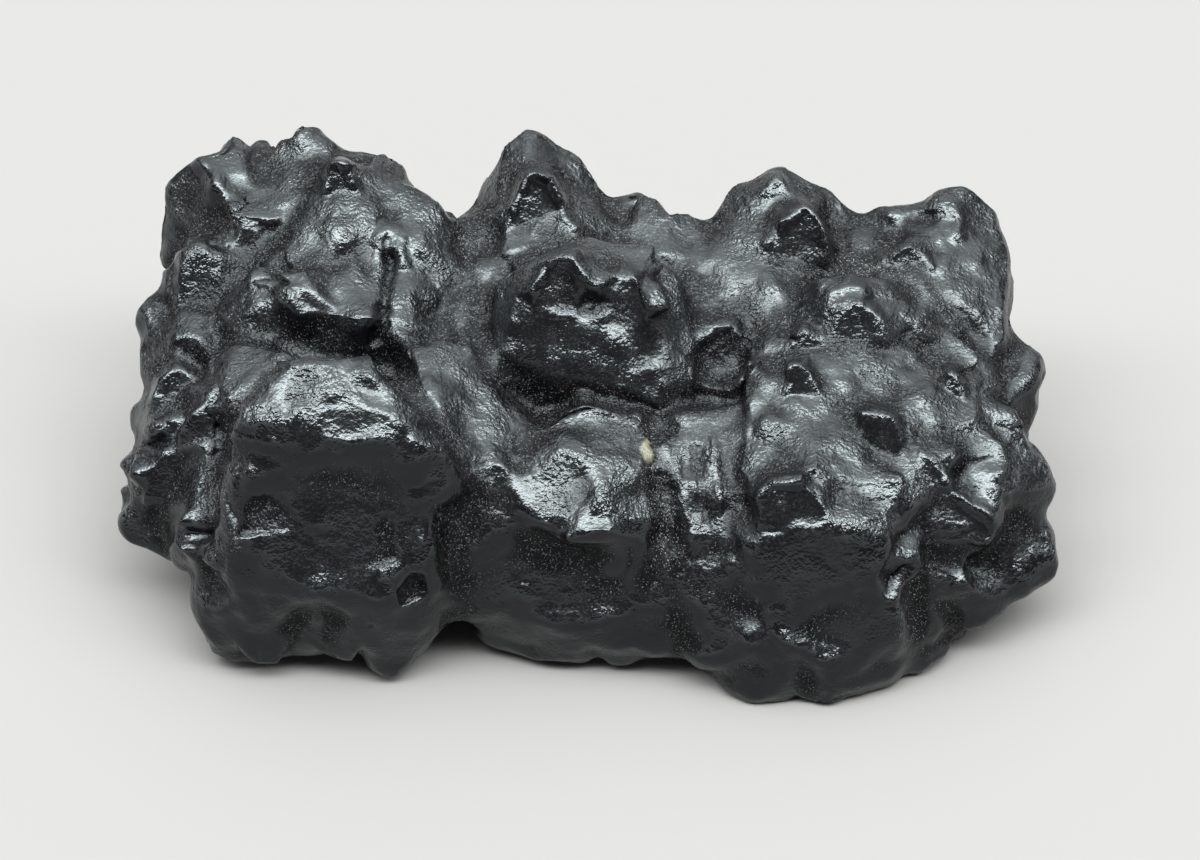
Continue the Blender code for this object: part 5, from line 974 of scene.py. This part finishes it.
class Finish(Nodes):
    """A node material under one Principled shader."""

    def __init__(self, name):
        self.material = bpy.data.materials.new(name)
        super().__init__(self.material, "Object")
        self.shader = self.tree.nodes["Principled BSDF"]

    def grain(self, size_mm, detail=3.0, rough=0.5, distortion=0.0, stretch=(1, 1, 1)):
        placed = self.add("ShaderNodeMapping", Scale=stretch, Vector=self.coordinates)
        return self.add(
            "ShaderNodeTexNoise", Vector=placed.outputs[0], Scale=1 / (size_mm * MM), Detail=detail,
            Roughness=rough, Distortion=distortion,
        ).outputs[0]

    def marked(self, name):
        return self.add("ShaderNodeAttribute", attribute_name=name).outputs["Fac"]


def polished_iron_stone():
    stone = Finish("polished_iron_stone")
    hollow = stone.marked("hollow")
    crest = stone.marked("crest")
    dust_line = stone.marked("dust")

    patches = stone.spread(stone.grain(3.0, rough=0.55), 0.4, 0.62)
    skin_colour = stone.blend(patches, SKIN_DARK, SKIN_WORN)
    rust = stone.spread(stone.grain(1.3, rough=0.6), 0.56, 0.72, 0.0, 0.5)
    skin_colour = stone.blend(rust, skin_colour, RUST_BROWN)

    # Pale specks in hollows and along the dust lines: part lint, part painted glints
    specks = stone.spread(stone.grain(0.1, detail=1.0, rough=0.4), 0.65, 0.71)
    lint = stone.spread(stone.grain(0.3, detail=4.0, rough=0.8, distortion=1.5), 0.6, 0.68)
    settled = stone.combine("MAXIMUM", stone.times(hollow, 0.35), dust_line)
    lint_and_glints = stone.times(stone.combine("MAXIMUM", specks, lint), settled)
    # Haze on upward faces, stronger where dust settles: part dust, part painted sheen that lightens the tops
    patchy = stone.spread(stone.grain(1.6, rough=0.6), 0.4, 0.62, 0.15, 1.0)
    haze_and_sheen = stone.times(stone.spread(stone.grain(0.2, detail=2.0, rough=0.65), 0.5, 0.72), patchy)
    haze_and_sheen = stone.times(haze_and_sheen, stone.combine("ADD", settled, 0.6))
    haze_and_sheen = stone.times(haze_and_sheen, stone.combine("POWER", stone.marked("open"), 2.5))
    colour = stone.blend(haze_and_sheen, skin_colour, HAZE_AND_SHEEN_GREY)
    colour = stone.blend(lint_and_glints, colour, LINT_AND_GLINT_GREY)
    tan = stone.blend(stone.grain(0.25, rough=0.6), GRAIN_OLIVE, GRAIN_TAN)
    colour = stone.blend(stone.marked("grain"), colour, tan)
    stone.feed(stone.shader.inputs["Base Color"], colour)

    gloss = stone.spread(stone.grain(0.9, detail=4.0, rough=0.65), 0.3, 0.7, 0.2, 0.3)
    gloss = stone.combine("ADD", gloss, stone.times(settled, 0.25))
    gloss = stone.combine("SUBTRACT", gloss, stone.times(crest, 0.05))
    stone.feed(stone.shader.inputs["Roughness"], gloss)
    stone.shader.inputs["IOR"].default_value = STONE_IOR
    # Reflections are weakened on downward faces and in hollows: painted shade under the stone and in its
    # creases
    shine_with_painted_shade = stone.spread(stone.marked("open"), 0, 1, 0.14, 0.5)
    shine_with_painted_shade = stone.times(shine_with_painted_shade, stone.spread(hollow, 0.1, 1.0, 1.0, 0.3))
    stone.feed(stone.shader.inputs["Specular IOR Level"], shine_with_painted_shade)
    stone.shader.inputs["Specular Tint"].default_value = SHINE_TINT

    pitted = stone.spread(stone.grain(2.2, detail=2.0, rough=0.6), 0.42, 0.62, 0.25, 1.0)
    pores = stone.grain(0.45, detail=1.0, distortion=0.4)
    fine = stone.grain(0.2, detail=1.0)
    streaks = stone.grain(0.8, rough=0.55, distortion=2.0, stretch=(1, 1, 2.0))
    relief = stone.combine("ADD", stone.times(pores, 2.0), stone.times(fine, 3.0))
    relief = stone.combine("ADD", stone.times(relief, pitted), stone.times(streaks, 0.5))
    relief = stone.combine("ADD", relief, stone.times(lint_and_glints, 0.3))
    relief = stone.times(relief, stone.spread(stone.marked("open"), 0.25, 1.0, 0.4, 1.0))
    bump = stone.add("ShaderNodeBump", Strength=1.0, Distance=RELIEF_DEPTH, Height=relief)
    stone.feed(stone.shader.inputs["Normal"], bump.outputs[0])
    return stone.material


def pale_floor():
    ground = Finish("pale_floor")
    ground.shader.inputs["Base Color"].default_value = FLOOR_GREY
    ground.shader.inputs["Roughness"].default_value = FLOOR_ROUGHNESS
    return ground.material


# The stone
skin = fused(knob_cluster())
for scale, reach in SWAY:
    sway(skin, scale, reach)
for scale, depth in WANDER:
    wander(skin, scale, depth)
carve_front(skin)
slide(skin, *EDGE_SLIDE)
for scale, depth in ROUGHNESS:
    wander(skin, scale, depth)
for side in HIDDEN_SIDES:
    carve_side(skin, *side)
flat_feet(skin)
mark_hollows(skin)
for face in skin.polygons:
    face.use_smooth = True
skin.materials.clear()
skin.materials.append(polished_iron_stone())
stone = stood("polished_stone", skin)
coarser = stone.modifiers.new("even out", "DECIMATE")
coarser.ratio = min(1, TRIANGLES_KEPT / (2 * len(skin.polygons)))
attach(stone, "root")
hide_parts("stone")

# Floor, lights and camera
bpy.ops.mesh.primitive_plane_add(size=FLOOR_SIZE)
floor = bpy.context.object
floor.name = "floor"
floor.data.materials.append(pale_floor())


# How bright the soft studio light is by height, going from the front floor line over the top to the back
LIGHT_BANDS = (
    (0, 0.015), (50, 0.015), (57, 0.5), (63, 2.1), (69, 1.8), (77, 0.66), (90, 0.34),
    (120, 0.22), (150, 0.11), (180, 0.05),
)
LIGHT_STRENGTH = 6.0
# How it fades to the sides: from and to which squared share of across, from and to which strength
LIGHT_FADES = (0.12, 0.75, 1, 0.1)


def light_dome():
    dome = bpy.data.worlds.new("soft_light_dome")
    bpy.context.scene.world = dome
    light = Nodes(dome, "Generated")
    direction = light.add("ShaderNodeSeparateXYZ", Vector=light.coordinates).outputs
    height = light.combine("ARCTAN2", direction["Z"], light.times(direction["Y"], -1))
    bands = light.add("ShaderNodeValToRGB")
    light.feed(bands.inputs[0], light.combine("DIVIDE", height, math.pi))
    stops = bands.color_ramp.elements
    for angle, _ in LIGHT_BANDS[1:-1]:
        stops.new(angle / 180)
    for stop, (_, brightness) in zip(stops, LIGHT_BANDS):
        stop.color = (brightness, brightness, brightness, 1)
    faded = light.spread(light.combine("POWER", direction["X"], 2), *LIGHT_FADES)
    background = light.tree.nodes["Background"]
    light.feed(background.inputs["Color"], light.blend(faded, BLACK, bands.outputs[0]))
    background.inputs["Strength"].default_value = LIGHT_STRENGTH


light_dome()

LENS = 240.0
FRAME_WIDTH = 0.072
AIM = (0.6, -0.9, 0)
CLIP = (0.01, 10.0)
lens = bpy.data.cameras.new("camera")
lens.lens = LENS
lens.clip_start, lens.clip_end = CLIP
camera = stood("camera", lens)
toward_camera = Vector(TOWARD_EYE)
camera.location = from_view(*AIM) + toward_camera * (LENS / lens.sensor_width * FRAME_WIDTH)
camera.rotation_mode = "QUATERNION"
camera.rotation_quaternion = (-toward_camera).to_track_quat("-Z", "Y")
bpy.context.scene.camera = camera
bpy.context.scene.view_settings.view_transform = "Standard"
